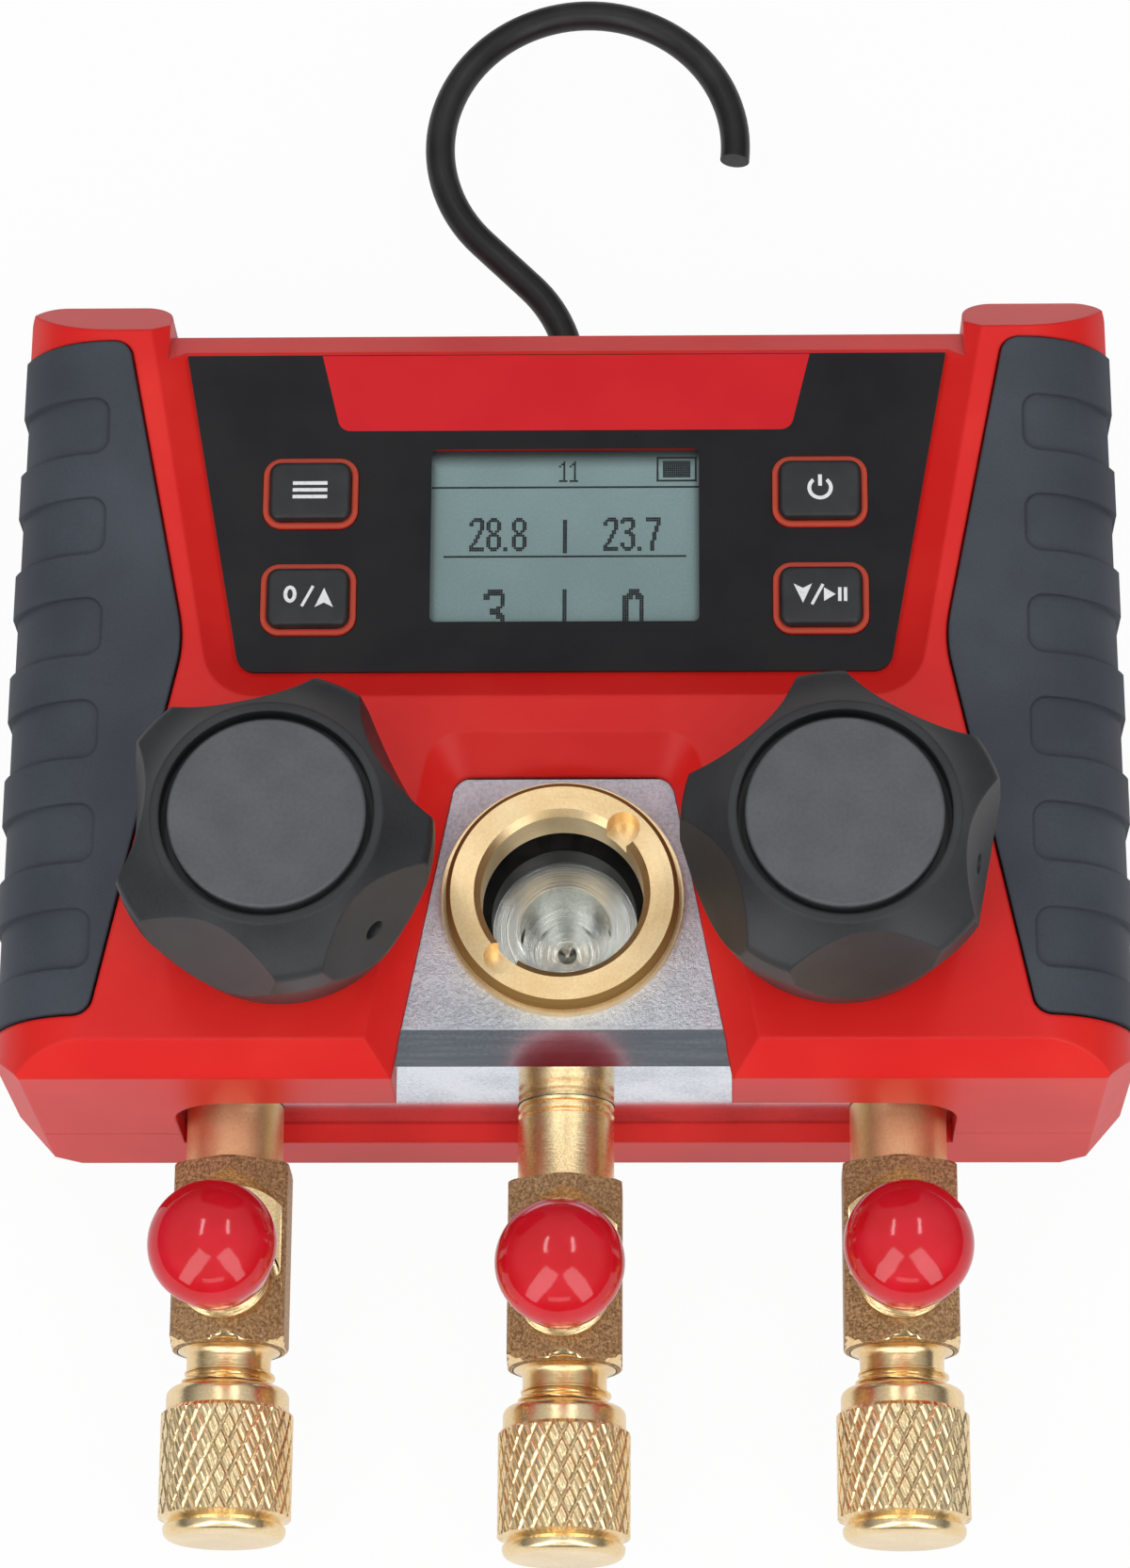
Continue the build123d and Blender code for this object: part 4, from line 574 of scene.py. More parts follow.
for key_name, shapes in signs.items():
    dress(key_finish, key_name)
    low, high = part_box(key_name)
    centre = np.array([(low.x + high.x) / 2, (low.y + high.y) / 2])
    head_top = overlay_top + HEAD_PROUD * MM
    head_foot = overlay_top - HEAD_FOOT * MM
    head_points, head_faces = rounded_head(centre, np.array(HEAD_SIZE) * MM, head_foot, head_top,
                                           HEAD_CORNER * MM, HEAD_EDGE * MM)
    head = add_piece(f"{key_name}_head", head_points, head_faces, key_name, key_finish, smooth=40)
    for i, shape in enumerate(shapes):
        sign = print_patch(f"{key_name}_sign_{i + 1}", shape + centre, head_top + PRINT_LIFT,
                           key_name, print_finish)

# ---- manifold block ----
# A milled block of aluminium. Its front is tumbled to a bright speckle, the lower edge has a wide
# chamfer with milling streaks and painted shade, and the lower face is milled smooth.
BLOCK_BRIGHT = (0.83, 0.91, 0.99)
BLOCK_DULL_AND_SHADE = (0.49, 0.56, 0.64)
BORE_GREY = (0.60, 0.62, 0.59)
BORE_RADIUS = 13.5 * MM
BORE_SUNK = 4 * MM  # the bore's wall and floor lie below this depth
CHAMFER_DEPTH = 3.6 * MM  # the lower chamfer lies within this depth and below this Y
CHAMFER_TOP = -10 * MM
block_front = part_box("manifold_block")[1].z

block_finish, place = finish("milled_aluminium", BLOCK_BRIGHT, metallic=1.0, roughness=0.35)
x, y, z = place.split()
front = z > block_front - 0.02 * MM
speckle = place.noise(0.40 * MM, 4.0, 0.75)
cloud = place.noise(9 * MM, 3.0)
from_axis = (x * x + y * y).math("SQRT")
bored = (from_axis < BORE_RADIUS) * (z < block_front - BORE_SUNK)
bore_rings = place.make("TexNoise", {"noise_dimensions": "1D"},
                        {"W": (from_axis + z) * 2600, "Detail": 2.0})
milled = place.make("Mapping", None, {0: place, "Scale": (60, 4000, 900)}).noise(1.0, 2.0)
streaks = place.make("Mapping", None, {0: place, "Scale": (45, 1500, 1500)}).noise(1.0, 3.0)
# The chamfer's colour is darkened overall: painted shade for the darker room it reflects, on top of its
# real milling streaks.
chamfer = (1 - front) * (z > block_front - CHAMFER_DEPTH) * (y < CHAMFER_TOP)
plain = (1 - chamfer * streaks.ramp(0.35, 0.7) * 0.75) * (1 - chamfer * 0.2)
shade = (speckle * 0.6 + cloud * 0.4).ramp(0.32, 0.60) * plain
wear(block_finish, base_color=bored.mix(shade.mix(BLOCK_DULL_AND_SHADE, BLOCK_BRIGHT), BORE_GREY),
     roughness=front * (speckle * 0.30 + 0.12) + chamfer * 0.02 + 0.13,
     normal=place.bump(front * speckle * 0.24 * MM + milled * 0.0012 * MM
                       + bored * bore_rings * 0.018 * MM))
dress(block_finish, "manifold_block")

# ---- sight glass: brass ring, glass, seal ----
# A turned brass ring with two pin holes screws a glass disc down on a black rubber seal.
# Fine turning rings run round its face and wall.
BRASS = (0.970, 0.760, 0.450)
BRASS_DEEP = (0.820, 0.570, 0.280)
GROOVE_BROWN = (0.34, 0.21, 0.07)
RING_GROOVE = (13.15, 13.75)  # radii of the dark turned groove near the ring's rim, in mm
SEAL_BLACK = (0.006, 0.006, 0.007)
SEAL_TINTS = ((0.005, 0.005, 0.006), (0.013, 0.013, 0.014))


def turned_brass(name, centre, axis, rough, depth=0.004, colours=(BRASS_DEEP, BRASS), grain=0.0008):
    """Bright brass with turning marks: noise along the distance from the axis, plus the height along
    it. The marks' depth and the grain's are in millimetres."""
    made, place = finish(name, BRASS, metallic=1.0, roughness=rough)
    x, y, z = place.split()
    across = (x - centre[0], y - centre[1]) if axis == "Z" else (x - centre[0], z - centre[2])
    along = z if axis == "Z" else y
    radius = (across[0] * across[0] + across[1] * across[1]).math("SQRT")
    marks = place.make("TexNoise", {"noise_dimensions": "1D"},
                       {"W": (radius + along) * 7000, "Detail": 2.0})
    fine = place.noise(0.35 * MM, 4.0, 0.65)
    cloud = place.noise(5 * MM, 3.0)
    wear(made, base_color=(cloud * 0.5 + fine * 0.5).ramp(0.3, 0.75).mix(*colours),
         roughness=fine * 0.10 + marks * 0.08 + (rough - 0.07),
         normal=place.bump(marks * depth * MM + fine * grain * MM))
    return made


# The ring's groove is darker and rougher than its brass, whose wires are taken up here.
ring_finish = turned_brass("ring_brass", (0, 0, 0), "Z", 0.30, 0.006, grain=0.004)
ring_nodes = ring_finish.node_tree.nodes
x, y, z = Wire(ring_finish.node_tree, ring_nodes["Texture Coordinate"].outputs["Object"]).split()
out = (x * x + y * y).math("SQRT")
groove = (out > RING_GROOVE[0] * MM) * (out < RING_GROOVE[1] * MM)
ring_sockets = ring_nodes["Principled BSDF"].inputs
turned_colour, turned_rough = (Wire(ring_finish.node_tree, ring_sockets[name].links[0].from_socket)
                               for name in ("Base Color", "Roughness"))
wear(ring_finish, base_color=groove.mix(turned_colour, GROOVE_BROWN),
     roughness=turned_rough + groove * 0.4)
dress(ring_finish, "sight_glass_ring")

seal_finish, place = finish("seal_rubber", SEAL_BLACK, roughness=0.55, specular_ior_level=0.25)
wear(seal_finish, base_color=place.noise(1.5 * MM, 4.0).ramp(0.3, 0.8).mix(*SEAL_TINTS),
     normal=place.bump(place.noise(0.2 * MM, 3.0) * 0.02 * MM))
dress(seal_finish, "sight_glass_seal", "left_cap_seal", "middle_cap_seal", "right_cap_seal",
      *[f"{side}_{name}" for side in SIDES for name in ("stem_packing", "piston_rings")])

glass_finish, place = finish("sight_glass", (0.01, 0.012, 0.012), roughness=0.02, alpha=0.04)
wear(glass_finish, roughness=place.noise(3 * MM) * 0.04 + 0.01)
glass_finish.surface_render_method = "BLENDED"
dress(glass_finish, "sight_glass_lens")

# ---- valves ----
# Brass bonnets screw into the block; each spindle turns in its packing and carries the knob.
# They are turned from bar, so their marks run round each spindle's own axis.
for side in SIDES:
    low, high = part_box(f"{side}_valve_spindle")
    valve_finish = turned_brass(f"{side}_valve_brass", (low + high) / 2, "Z", 0.3)
    dress(valve_finish, f"{side}_valve_bonnet", f"{side}_valve_piston", f"{side}_valve_spindle")

# ---- knobs ----
# Black hand knobs with five scallops, moulded in glass-filled nylon with a faint grain.
# A textured grey disc closes the top, and a set screw holds each knob on its spindle.
KNOB_BLACK = (0.018, 0.019, 0.021)
KNOB_SHEEN = (0.032, 0.033, 0.036)
INSERT_GREY = (0.070, 0.073, 0.080)
INSERT_PALE = (0.098, 0.102, 0.110)
KNOB_EDGE = 0.5 * MM

knob_finish, place = finish("knob_nylon", KNOB_BLACK, roughness=0.44, specular_ior_level=0.36)
grain = place.noise(0.35 * MM, 3.0, 0.6)
cloud = place.noise(8 * MM) * 0.6 + grain * 0.4
wear(knob_finish, base_color=cloud.ramp(0.3, 0.75).mix(KNOB_BLACK, KNOB_SHEEN),
     roughness=grain * 0.16 + 0.36, normal=place.bump(grain * 0.02 * MM, KNOB_EDGE))
dress(knob_finish, "left_knob", "right_knob")
insert_finish, place = finish("knob_disc", INSERT_GREY, roughness=0.5, specular_ior_level=0.45)
grain = place.noise(0.5 * MM, 3.0, 0.6)
cloud = place.noise(5 * MM) * 0.5 + grain * 0.5
wear(insert_finish, base_color=cloud.ramp(0.3, 0.75).mix(INSERT_GREY, INSERT_PALE),
     roughness=grain * 0.18 + 0.42, normal=place.bump(grain * 0.04 * MM))
dress(insert_finish, "left_knob_insert", "right_knob_insert")

# ---- port fittings ----
# Each port is a hexagonal tee forged in brass. Its pipe, neck, flare threads and branch are turned
# bright, and a pocket is milled round the branch; the flats keep the rough dark forging skin.
# Except in PORTS and PORT_Z, sizes are in millimetres.
FORGED = (0.270, 0.155, 0.075)
FORGED_LIGHT = (0.680, 0.450, 0.240)
# Each port's X, and how much further down the gauge its tee stands.
PORTS = {"left": (-40 * MM, 0.0), "middle": (0.0, 2.2 * MM), "right": (40 * MM, 0.0)}
PORT_Z = 17 * MM
DOWN = np.array([0.0, -1.0, 0.0])
OUT = np.array([0.0, 0.0, 1.0])
SCREWED_IN = 8.0
SCREWED_RADIUS = 5.2
TEE_TOP = 7.9
TEE_TOP_BREAK = 0.3  # the top edge is broken by this much
TEE_END = 30.3
TEE_FLATS = 13.6
TEE_CHAMFER = 1.1
TEE_NOSE = ((0.55, 0.5), (0.9, 0.9), (TEE_CHAMFER, 1.45))  # lines of the end: how far along and in
TEE_LINES = 8  # grid lines above the pocket, in it and below it
RIDGE_TURN = 1.9  # half angle of the rounded ridge, in degrees
POCKET_RADIUS = 7.8
POCKET_DROP = 9.6
POCKET_SHORT = 0.86  # the pocket is this share as long as it is wide
POCKET_TAPER = 0.35  # its upper wall leans out by this much for each unit of its height
POCKET_FLOOR = 4.2
POCKET_GAP = 0.02  # between the lines of its wall and of its floor
SKIN_MARGINS = (0.05, 0.06)  # the skin stops this far from the pocket's floor and the chamfer
PIPE_RADIUS = 5.8
NECK_RADIUS = 5.0
NECK_END = 33.1
NECK_SHOULDER = 6.3
NECK_FILLET = 1.1
NECK_BEAD = 0.22
NECK_STEP = 0.12  # between the lines of the neck's thread
THREAD_MAJOR = 5.56
THREAD_MINOR = 4.95
THREAD_PITCH = 1.27
FLARE_START = 44.4
FLARE_END = 46.8
FLARE_RADIUS = 3.6
FLOW_RADIUS = 2.4
FLOW_DEPTH = 9
BRANCH_DROP = 15.0
BRANCH_FOOT = 1.0
BRANCH_SHOULDER = 6.4
BRANCH_NECK_RADIUS = 5.1
BRANCH_NECK_END = 9.6
BRANCH_THREAD = 9.8
BRANCH_TOP = 26.2
BRANCH_STEP = 0.13
CORE_RADIUS = 2.0
CORE_FLOOR = 12.0


def full_turn(columns):
    """The turns of a grid round an axis, evenly spaced, in radians."""
    return np.linspace(0, 2 * pi, columns, endpoint=False)


def swept_round(name, along, radius, centre, way, body, material, turns, smooth=32):
    """A form round an axis: at distance along on the axis and turn a the surface stands off by radius,
    so a point is centre + way * along + radius * (sin a across + cos a up). Radius is one number per
    line or one per line and turn, and 0 closes an end. Across is +X; up is +Z, or +Y if way is +-Z."""
    radius = np.asarray(radius)
    if radius.ndim == 1:
        radius = np.broadcast_to(radius[:, None], (len(along), len(turns)))
    up = OUT if abs(way[2]) < 0.5 else -DOWN
    ray = np.sin(turns)[:, None] * np.array([1.0, 0.0, 0.0]) + np.cos(turns)[:, None] * up
    spine = np.asarray(along)[:, None, None] * way
    points = np.asarray(centre) + (spine + radius[:, :, None] * ray) * MM
    return add_piece(name, points.reshape(-1, 3), ring_faces(*radius.shape), body, material, smooth)


def arc_lines(along, radius, size, first, last, count=6):
    """Lines of a profile on an arc of this size round (along, radius), first and last in degrees."""
    turn = np.radians(np.linspace(first, last, count))
    return [(along + size * a, radius + size * b) for a, b in zip(np.cos(turn), np.sin(turn))]


def patterned(before, along, radius, after):
    """Plain lines before and after a band whose radius changes with the turn, such as a thread. Returns
    the distances along the axis and the radius at each line and turn."""
    before, after = np.array(before), np.array(after)
    plain = [np.broadcast_to(lines[:, 1:], (len(lines), radius.shape[1])) for lines in (before, after)]
    distances = np.concatenate([before[:, 0], along, after[:, 0]])
    return distances, np.vstack([plain[0], radius, plain[1]])


def thread_radius(along, turn):
    """A thread: the radius rises and falls once in each pitch, moved on by one pitch a turn, with flat
    crests and roots. The turns of swept_round run clockwise seen against its way, which makes it a
    left-hand thread."""
    share = (along[:, None] / THREAD_PITCH - turn[None, :] / (2 * pi)) % 1.0
    flank = np.clip(np.abs(share * 2 - 1) * 1.5 - 0.25, 0, 1)
    return THREAD_MINOR + (THREAD_MAJOR - THREAD_MINOR) * flank


def hexagon_radius(turn):
    """Distance from the axis to the flats of the tee, whose ridge lies at turn 0: half the width over
    the cosine of the angle to the nearest flat. Within the ridge's half angle it stays level."""
    off_ridge = (turn + pi / 6) % (pi / 3) - pi / 6
    off_ridge = np.maximum(np.abs(off_ridge), radians(RIDGE_TURN))
    return TEE_FLATS / 2 / np.cos(pi / 6 - off_ridge)


# The turns of the hexagon's grid: close together at the ridges, wider on the flats.
sector = np.radians([-RIDGE_TURN, RIDGE_TURN, 6, 11, 16, 21, 26, 30, 34, 39, 44, 49, 54])
hexagon_turns = np.concatenate([sector + i * pi / 3 for i in range(6)])
hexagon = hexagon_radius(hexagon_turns)
ridge_radius = hexagon.max()


def tee_forging(name, centre, material):
    """The hexagon with its milled pocket. Each turn of the grid meets the pocket's oval at two places
    on the axis; between them the points sink to the pocket's floor. The upper wall leans out."""
    side, height = hexagon * np.sin(hexagon_turns), hexagon * np.cos(hexagon_turns)
    sinks = (height > POCKET_FLOOR) & (np.abs(side) < POCKET_RADIUS)
    reach = POCKET_SHORT * np.sqrt(np.maximum(POCKET_RADIUS ** 2 - side ** 2, 0.01))
    middle = TEE_TOP + POCKET_DROP
    start, end = middle - reach, middle + reach
    chamfer = TEE_END - TEE_CHAMFER
    share = np.linspace(0, 1, TEE_LINES)[:, None]
    lean = np.where(sinks, POCKET_TAPER * (height - POCKET_FLOOR), 0)
    above = TEE_TOP + TEE_TOP_BREAK + (start - lean - TEE_TOP - TEE_TOP_BREAK) * share
    floor_lines = start + POCKET_GAP + (end - start - 2 * POCKET_GAP) * share
    below = end + (chamfer - end) * share
    nose = [(chamfer + step, ridge_radius - drawn) for step, drawn in TEE_NOSE]
    nose = np.array(nose + [(TEE_END, 0)])
    along = np.vstack([np.full((2, len(start)), TEE_TOP), above, floor_lines, below,
                       np.broadcast_to(nose[:, :1], (len(nose), len(start)))])
    limit = np.full(len(along), ridge_radius)
    limit[:2] = 0, ridge_radius - TEE_TOP_BREAK
    limit[-len(nose):] = nose[:, 1]
    sunk = np.zeros(len(along), bool)
    sunk[2 + TEE_LINES:2 + 2 * TEE_LINES] = True
    radius = np.minimum(hexagon[None, :], limit[:, None])
    x = radius * np.sin(hexagon_turns)
    z = np.where(sunk[:, None] & sinks[None, :], POCKET_FLOOR, radius * np.cos(hexagon_turns))
    points = np.stack([centre[0] + x * MM, centre[1] - along * MM, centre[2] + z * MM], axis=-1)
    return add_piece(name, points.reshape(-1, 3), ring_faces(*along.shape), "root", material, smooth=25)


# Profiles as distances along the axis and radii. The pipe's ridges show on the port that stands
# further down; the neck ends in the flare; the branch is counted from the port's axis.
PIPE_SCREWED = [(-SCREWED_IN, 0), (-SCREWED_IN, SCREWED_RADIUS), (0.0, SCREWED_RADIUS)]
PIPE_PLAIN = [(0.05, PIPE_RADIUS - 0.1), (0.15, PIPE_RADIUS)]
PIPE_RIDGED = [(0.05, 5.75), (0.45, 5.80), (0.60, 5.40), (0.90, 5.40), (1.05, 5.80), (1.45, 5.80),
               (1.60, 5.40), (1.85, 5.40), (2.10, PIPE_RADIUS)]
PIPE_IN_TEE = [(TEE_TOP - 0.1, PIPE_RADIUS), (TEE_TOP + 1, PIPE_RADIUS), (TEE_TOP + 1, 0)]
NECK = ([(TEE_END - 1, 0), (TEE_END - 1, NECK_SHOULDER), (TEE_END, NECK_SHOULDER)]
        + arc_lines(TEE_END + NECK_FILLET, NECK_RADIUS + NECK_FILLET, NECK_FILLET, 180, 270)
        + [(NECK_END - 0.35, NECK_RADIUS), (NECK_END - 0.2, NECK_RADIUS + NECK_BEAD),
           (NECK_END, NECK_RADIUS + NECK_BEAD), (NECK_END + 0.05, THREAD_MINOR)])
FLARE = [(FLARE_START, THREAD_MINOR), (FLARE_START + 0.2, THREAD_MINOR), (FLARE_END, FLARE_RADIUS),
         (FLARE_END, FLOW_RADIUS), (FLARE_END - FLOW_DEPTH, FLOW_RADIUS), (FLARE_END - FLOW_DEPTH, 0)]
BRANCH_LOW = ([(BRANCH_FOOT, 0), (BRANCH_FOOT, BRANCH_SHOULDER), (POCKET_FLOOR, BRANCH_SHOULDER)]
              + arc_lines(POCKET_FLOOR + NECK_FILLET, BRANCH_NECK_RADIUS + NECK_FILLET, NECK_FILLET,
                          180, 270)
              + [(BRANCH_NECK_END, BRANCH_NECK_RADIUS), (BRANCH_THREAD - 0.1, THREAD_MINOR)])
BRANCH_END = [(BRANCH_TOP - 0.6, THREAD_MAJOR - 0.1), (BRANCH_TOP, THREAD_MINOR),
              (BRANCH_TOP, CORE_RADIUS), (CORE_FLOOR, CORE_RADIUS), (CORE_FLOOR, 0)]

round_turns = full_turn(72)
cut = np.arange(NECK_END + 0.1, FLARE_START, NECK_STEP)
neck_form = patterned(NECK, cut, thread_radius(cut, round_turns), FLARE)
cut = np.arange(BRANCH_THREAD, BRANCH_TOP - 0.7, BRANCH_STEP)
branch_form = patterned(BRANCH_LOW, cut, thread_radius(cut, round_turns), BRANCH_END)

for port, (port_x, drop) in PORTS.items():
    centre = np.array([port_x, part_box(f"{port}_tee_fitting")[1].y - SCREWED_IN * MM, PORT_Z])
    tee_finish, place = finish(f"{port}_forged_brass", FORGED, metallic=1.0, roughness=0.45)
    x, y, z = place.split()
    off_x, off_z = x - port_x, z - PORT_Z
    stand_off = (off_x * off_x + off_z * off_z).math("SQRT")
    hex_end = centre[1] - TEE_END * MM
    chamfer_cone = ridge_radius * MM - hex_end - (TEE_CHAMFER + SKIN_MARGINS[1]) * MM
    pocket_y = (y - (centre[1] - (TEE_TOP + POCKET_DROP) * MM)) * (1 / POCKET_SHORT)
    in_pocket = (off_x * off_x + pocket_y * pocket_y).math("SQRT") < POCKET_RADIUS * MM
    in_pocket = in_pocket * (z < PORT_Z + (POCKET_FLOOR + SKIN_MARGINS[0]) * MM)
    in_pocket = in_pocket * (z > PORT_Z + (POCKET_FLOOR - SKIN_MARGINS[0]) * MM)
    skinned = (1 - in_pocket) * (stand_off - y < chamfer_cone)
    skin = place.noise(0.40 * MM, 5.0, 0.75)
    fine = place.noise(0.22 * MM, 3.0)
    skin_colour = (skin * 0.8 + fine * 0.2).ramp(0.40, 0.62).mix(FORGED, FORGED_LIGHT)
    wear(tee_finish, base_color=skinned.mix(fine.ramp(0.3, 0.7).mix(BRASS_DEEP, BRASS), skin_colour),
         roughness=skinned * (skin * 0.25 + 0.18) + fine * 0.08 + 0.14,
         normal=place.bump(skinned * skin * 0.22 * MM + fine * 0.002 * MM))
    forging = tee_forging(f"{port}_tee_forging", centre, tee_finish)

    axis_place = (port_x, 0, PORT_Z)
    pipe_finish = turned_brass(f"{port}_pipe_brass", axis_place, "Y", 0.24 if drop else 0.36, 0.008)
    bright = turned_brass(f"{port}_turned_brass", axis_place, "Y", 0.17, 0.008)
    pipe_top = np.array(PIPE_SCREWED + (PIPE_RIDGED if drop else PIPE_PLAIN))
    pipe_top[:, 0] -= drop / MM
    pipe_lines = np.vstack([pipe_top, PIPE_IN_TEE])
    pipe = swept_round(f"{port}_pipe", pipe_lines[:, 0], pipe_lines[:, 1], centre, DOWN, "root",
                       pipe_finish, round_turns)
    neck = swept_round(f"{port}_flare_neck", *neck_form, centre, DOWN, "root", bright, round_turns)
    branch_place = centre + DOWN * (TEE_TOP + BRANCH_DROP) * MM
    branch = swept_round(f"{port}_branch", *branch_form, branch_place, OUT, "root", bright, round_turns)
    for piece in (forging, pipe, neck, branch):
        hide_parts(f"{port}_tee_fitting")
    dress(bright, f"{port}_valve_core")

# ---- knurled caps ----
# A brass cap closes each flare end. A plain collar, a band of diamond knurling rolled with two
# crossing wheels, a groove and a rounded end band are turned from one bar. Sizes are in millimetres.
CAP_BRASS = (0.985, 0.800, 0.500)
CAP_BRASS_DEEP = (0.860, 0.640, 0.350)
CAP_LENGTH = 18.0
CAP_BORE = 5.66
CAP_INSIDE = 14.0
CAP_ROUND = 1.1
CAP_MOUTH = 0.4  # chamfer at the bore's mouth
COLLAR_RADIUS = 7.3
COLLAR_LENGTH = 2.7
END_RADIUS = 7.25
KNURL_RADIUS = 7.85
KNURL_START = COLLAR_LENGTH + 0.5
KNURL_END = 15.5
KNURL_STARTS = 26
KNURL_LEAN = 26.0  # angle of the grooves to the axis, in degrees
KNURL_COLUMNS = 420
KNURL_STEP = 0.125
KNURL_GROOVES = ((1, 0.24, 0.30), (-1, 0.20, 0.26), (-1, 0.08, 0.20))  # way, depth, half width
KNURL_OFFSET = 0.37  # each cap's grooves start this share of a groove further round
# The groove behind the knurling: distances from the knurling's end, and radii.
END_GROOVE = ((0.3, KNURL_RADIUS - 0.75), (0.6, KNURL_RADIUS - 1.1), (0.9, END_RADIUS - 0.15),
              (1.05, END_RADIUS))


def knurl_depth(along, turn, offset):
    """Depth of crossing families of V grooves, the last a faint one between the second's. Each counts
    grooves by turn plus or minus along times the tangent of the lean over the radius; depth falls off
    linearly from a groove's middle."""
    lean = along[:, None] * np.tan(radians(KNURL_LEAN)) / KNURL_RADIUS
    pitch = 2 * pi * KNURL_RADIUS / KNURL_STARTS * cos(radians(KNURL_LEAN))
    total = np.zeros((len(along), len(turn)))
    for (way, deep, wide), shift in zip(KNURL_GROOVES, (offset, 2 * offset, 2 * offset + 0.5)):
        share = (KNURL_STARTS * (turn[None, :] + way * lean) / (2 * pi) + shift) % 1.0
        from_middle = np.abs(share - 0.5) * pitch
        total = np.maximum(total, deep * np.clip(1 - from_middle / wide, 0, 1))
    return total


cap_turns = full_turn(KNURL_COLUMNS)
knurl_lines = np.arange(KNURL_START, KNURL_END, KNURL_STEP)
cap_low = ([(CAP_INSIDE, 0), (CAP_INSIDE, CAP_BORE), (CAP_MOUTH, CAP_BORE), (0, CAP_BORE + CAP_MOUTH)]
           + arc_lines(CAP_ROUND, COLLAR_RADIUS - CAP_ROUND, CAP_ROUND, 180, 90)
           + [(COLLAR_LENGTH - 0.08, COLLAR_RADIUS), (COLLAR_LENGTH, COLLAR_RADIUS)])
cap_tail = ([(KNURL_END + step, radius) for step, radius in END_GROOVE]
            + arc_lines(CAP_LENGTH - CAP_ROUND, END_RADIUS - CAP_ROUND, CAP_ROUND, 90, 0, 8)
            + [(CAP_LENGTH, 0)])
for number, (port, (port_x, _)) in enumerate(PORTS.items()):
    mouth = (port_x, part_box(f"{port}_knurled_cap")[1].y, PORT_Z)
    knurled = KNURL_RADIUS - knurl_depth(knurl_lines, cap_turns, KNURL_OFFSET * number)
    cap_form = patterned(cap_low, knurl_lines, knurled, cap_tail)
    cap_finish = turned_brass(f"{port}_cap_brass", (port_x, 0, PORT_Z), "Y", 0.23, 0.003,
                              (CAP_BRASS_DEEP, CAP_BRASS), grain=0.003)
    cap = swept_round(f"{port}_cap_body", *cap_form, mouth, DOWN, f"{port}_knurled_cap", cap_finish,
                      cap_turns, smooth=24)
    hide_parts(f"{port}_knurled_cap")

# ---- vinyl dust caps ----
# Dip-moulded red vinyl caps pushed over the side branches. The crown is domed and flows into the wall,
# and the skin is very glossy. Sizes are in millimetres.
VINYL = (0.600, 0.007, 0.013)
VINYL_BRIGHT = (0.66, 0.010, 0.024)
CROWN_RADIUS = 11.5
CROWN_REACH = 4.5  # the crown runs out to here and the edge arc takes over
VINYL_RADIUS = 7.5
VINYL_FOOT = 1.0  # the wall draws in by this much at its foot
VINYL_LIP = 0.4
VINYL_LENGTH = 11.6
VINYL_INSIDE = 3.2  # the hollow begins this far under the crown
VINYL_MOUTH = 0.3

vinyl_finish, place = finish("dipped_vinyl", VINYL, roughness=0.10, specular_ior_level=0.45)
wear(vinyl_finish, base_color=place.noise(4 * MM).ramp(0.3, 0.7).mix(VINYL, VINYL_BRIGHT),
     roughness=place.noise(1.5 * MM) * 0.05 + 0.06,
     normal=place.bump(place.noise(3 * MM, 1.0) * 0.05 * MM))
crown_turn = np.linspace(0, np.arcsin(CROWN_REACH / CROWN_RADIUS), 10)
crown = [(CROWN_RADIUS * (1 - cos(a)), CROWN_RADIUS * sin(a)) for a in crown_turn]
edge_size = (VINYL_RADIUS - CROWN_REACH) / (1 - sin(crown_turn[-1]))
edge_middle = crown[-1][0] + edge_size * cos(crown_turn[-1])
edge_arc = arc_lines(edge_middle, VINYL_RADIUS - edge_size, edge_size,
                     180 - np.degrees(crown_turn[-1]), 90, 14)[1:]
lip_radius = VINYL_RADIUS - VINYL_FOOT
vinyl_lines = np.array(crown + edge_arc + [(VINYL_LENGTH - 0.5, lip_radius)]
                       + arc_lines(VINYL_LENGTH - VINYL_LIP, lip_radius - VINYL_LIP, VINYL_LIP, 90, 0, 5)
                       + [(VINYL_LENGTH, CAP_BORE + VINYL_MOUTH), (VINYL_LENGTH - VINYL_MOUTH, CAP_BORE),
                          (VINYL_INSIDE, CAP_BORE), (VINYL_INSIDE, 0)])
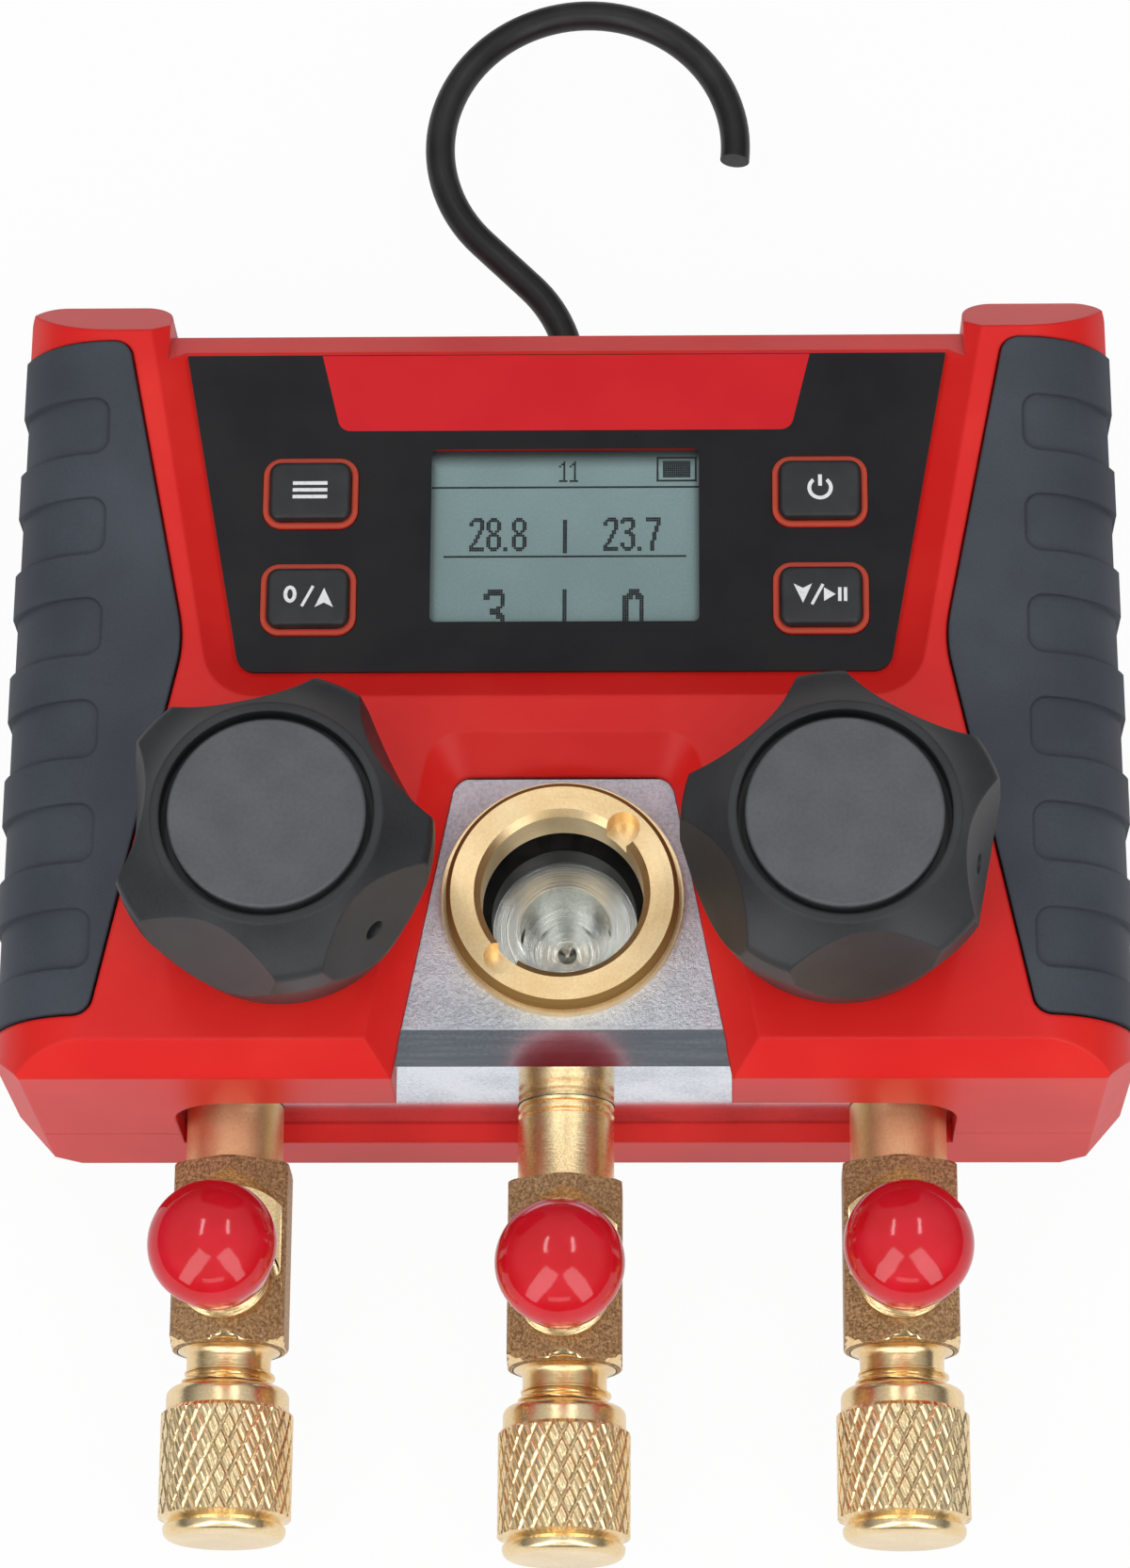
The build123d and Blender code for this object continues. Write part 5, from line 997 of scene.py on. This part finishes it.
for port in PORTS:
    low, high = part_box(f"{port}_dust_cap")
    crown_place = ((low.x + high.x) / 2, (low.y + high.y) / 2, high.z)
    vinyl_cap = swept_round(f"{port}_vinyl_cap", vinyl_lines[:, 0], vinyl_lines[:, 1], crown_place, -OUT,
                            f"{port}_dust_cap", vinyl_finish, full_turn(96), smooth=50)
    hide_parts(f"{port}_dust_cap")

# ---- hook ----
# Steel wire bent to a hook, dip coated in soft black plastic that takes a slight sheen.
# It swivels in an acetal bush in the housing's upper end.
HOOK_BLACK = (0.011, 0.011, 0.012)
HOOK_SHEEN = (0.024, 0.024, 0.026)

hook_finish, place = finish("dip_coated_wire", HOOK_BLACK, roughness=0.36, specular_ior_level=0.3)
grain = place.noise(0.6 * MM, 3.0)
wear(hook_finish, base_color=place.noise(6 * MM).ramp(0.3, 0.8).mix(HOOK_BLACK, HOOK_SHEEN),
     roughness=grain * 0.2 + 0.28, normal=place.bump(grain * 0.02 * MM))
dress(hook_finish, "hook", "hook_bush")

# ---- inside pieces ----
# Board, domes, cells, contacts, sensors and screws: they show only where the housing is opened.
# The board has a green solder mask, the metal pieces share a zinc plate and the cells a grey wrap.
BOARD_GREENS = ((0.015, 0.12, 0.05), (0.03, 0.2, 0.09))
ZINC_GREYS = ((0.5, 0.51, 0.53), (0.7, 0.71, 0.73))
CELL_GREYS = ((0.07, 0.075, 0.08), (0.13, 0.135, 0.14))

board_finish, place = finish("solder_mask", (0.02, 0.16, 0.07), roughness=0.35)
wear(board_finish, base_color=place.noise(4 * MM, 4.0).mix(*BOARD_GREENS))
dress(board_finish, "circuit_board")
zinc_finish, place = finish("zinc_plate", (0.62, 0.63, 0.65), metallic=1.0, roughness=0.32)
wear(zinc_finish, roughness=place.noise(0.8 * MM, 4.0) * 0.3 + 0.2,
     base_color=place.noise(2 * MM, 3.0).mix(*ZINC_GREYS))
dress(zinc_finish, "key_domes", "battery_contacts", "housing_screws", "block_screws",
      "battery_door_screw", "left_pressure_sensor", "right_pressure_sensor", "left_knob_set_screw",
      "right_knob_set_screw", "hook_collar")
cell_finish, place = finish("cell_wrap", (0.09, 0.095, 0.10), roughness=0.3)
wear(cell_finish, base_color=place.noise(6 * MM).mix(*CELL_GREYS))
dress(cell_finish, "battery_cells")
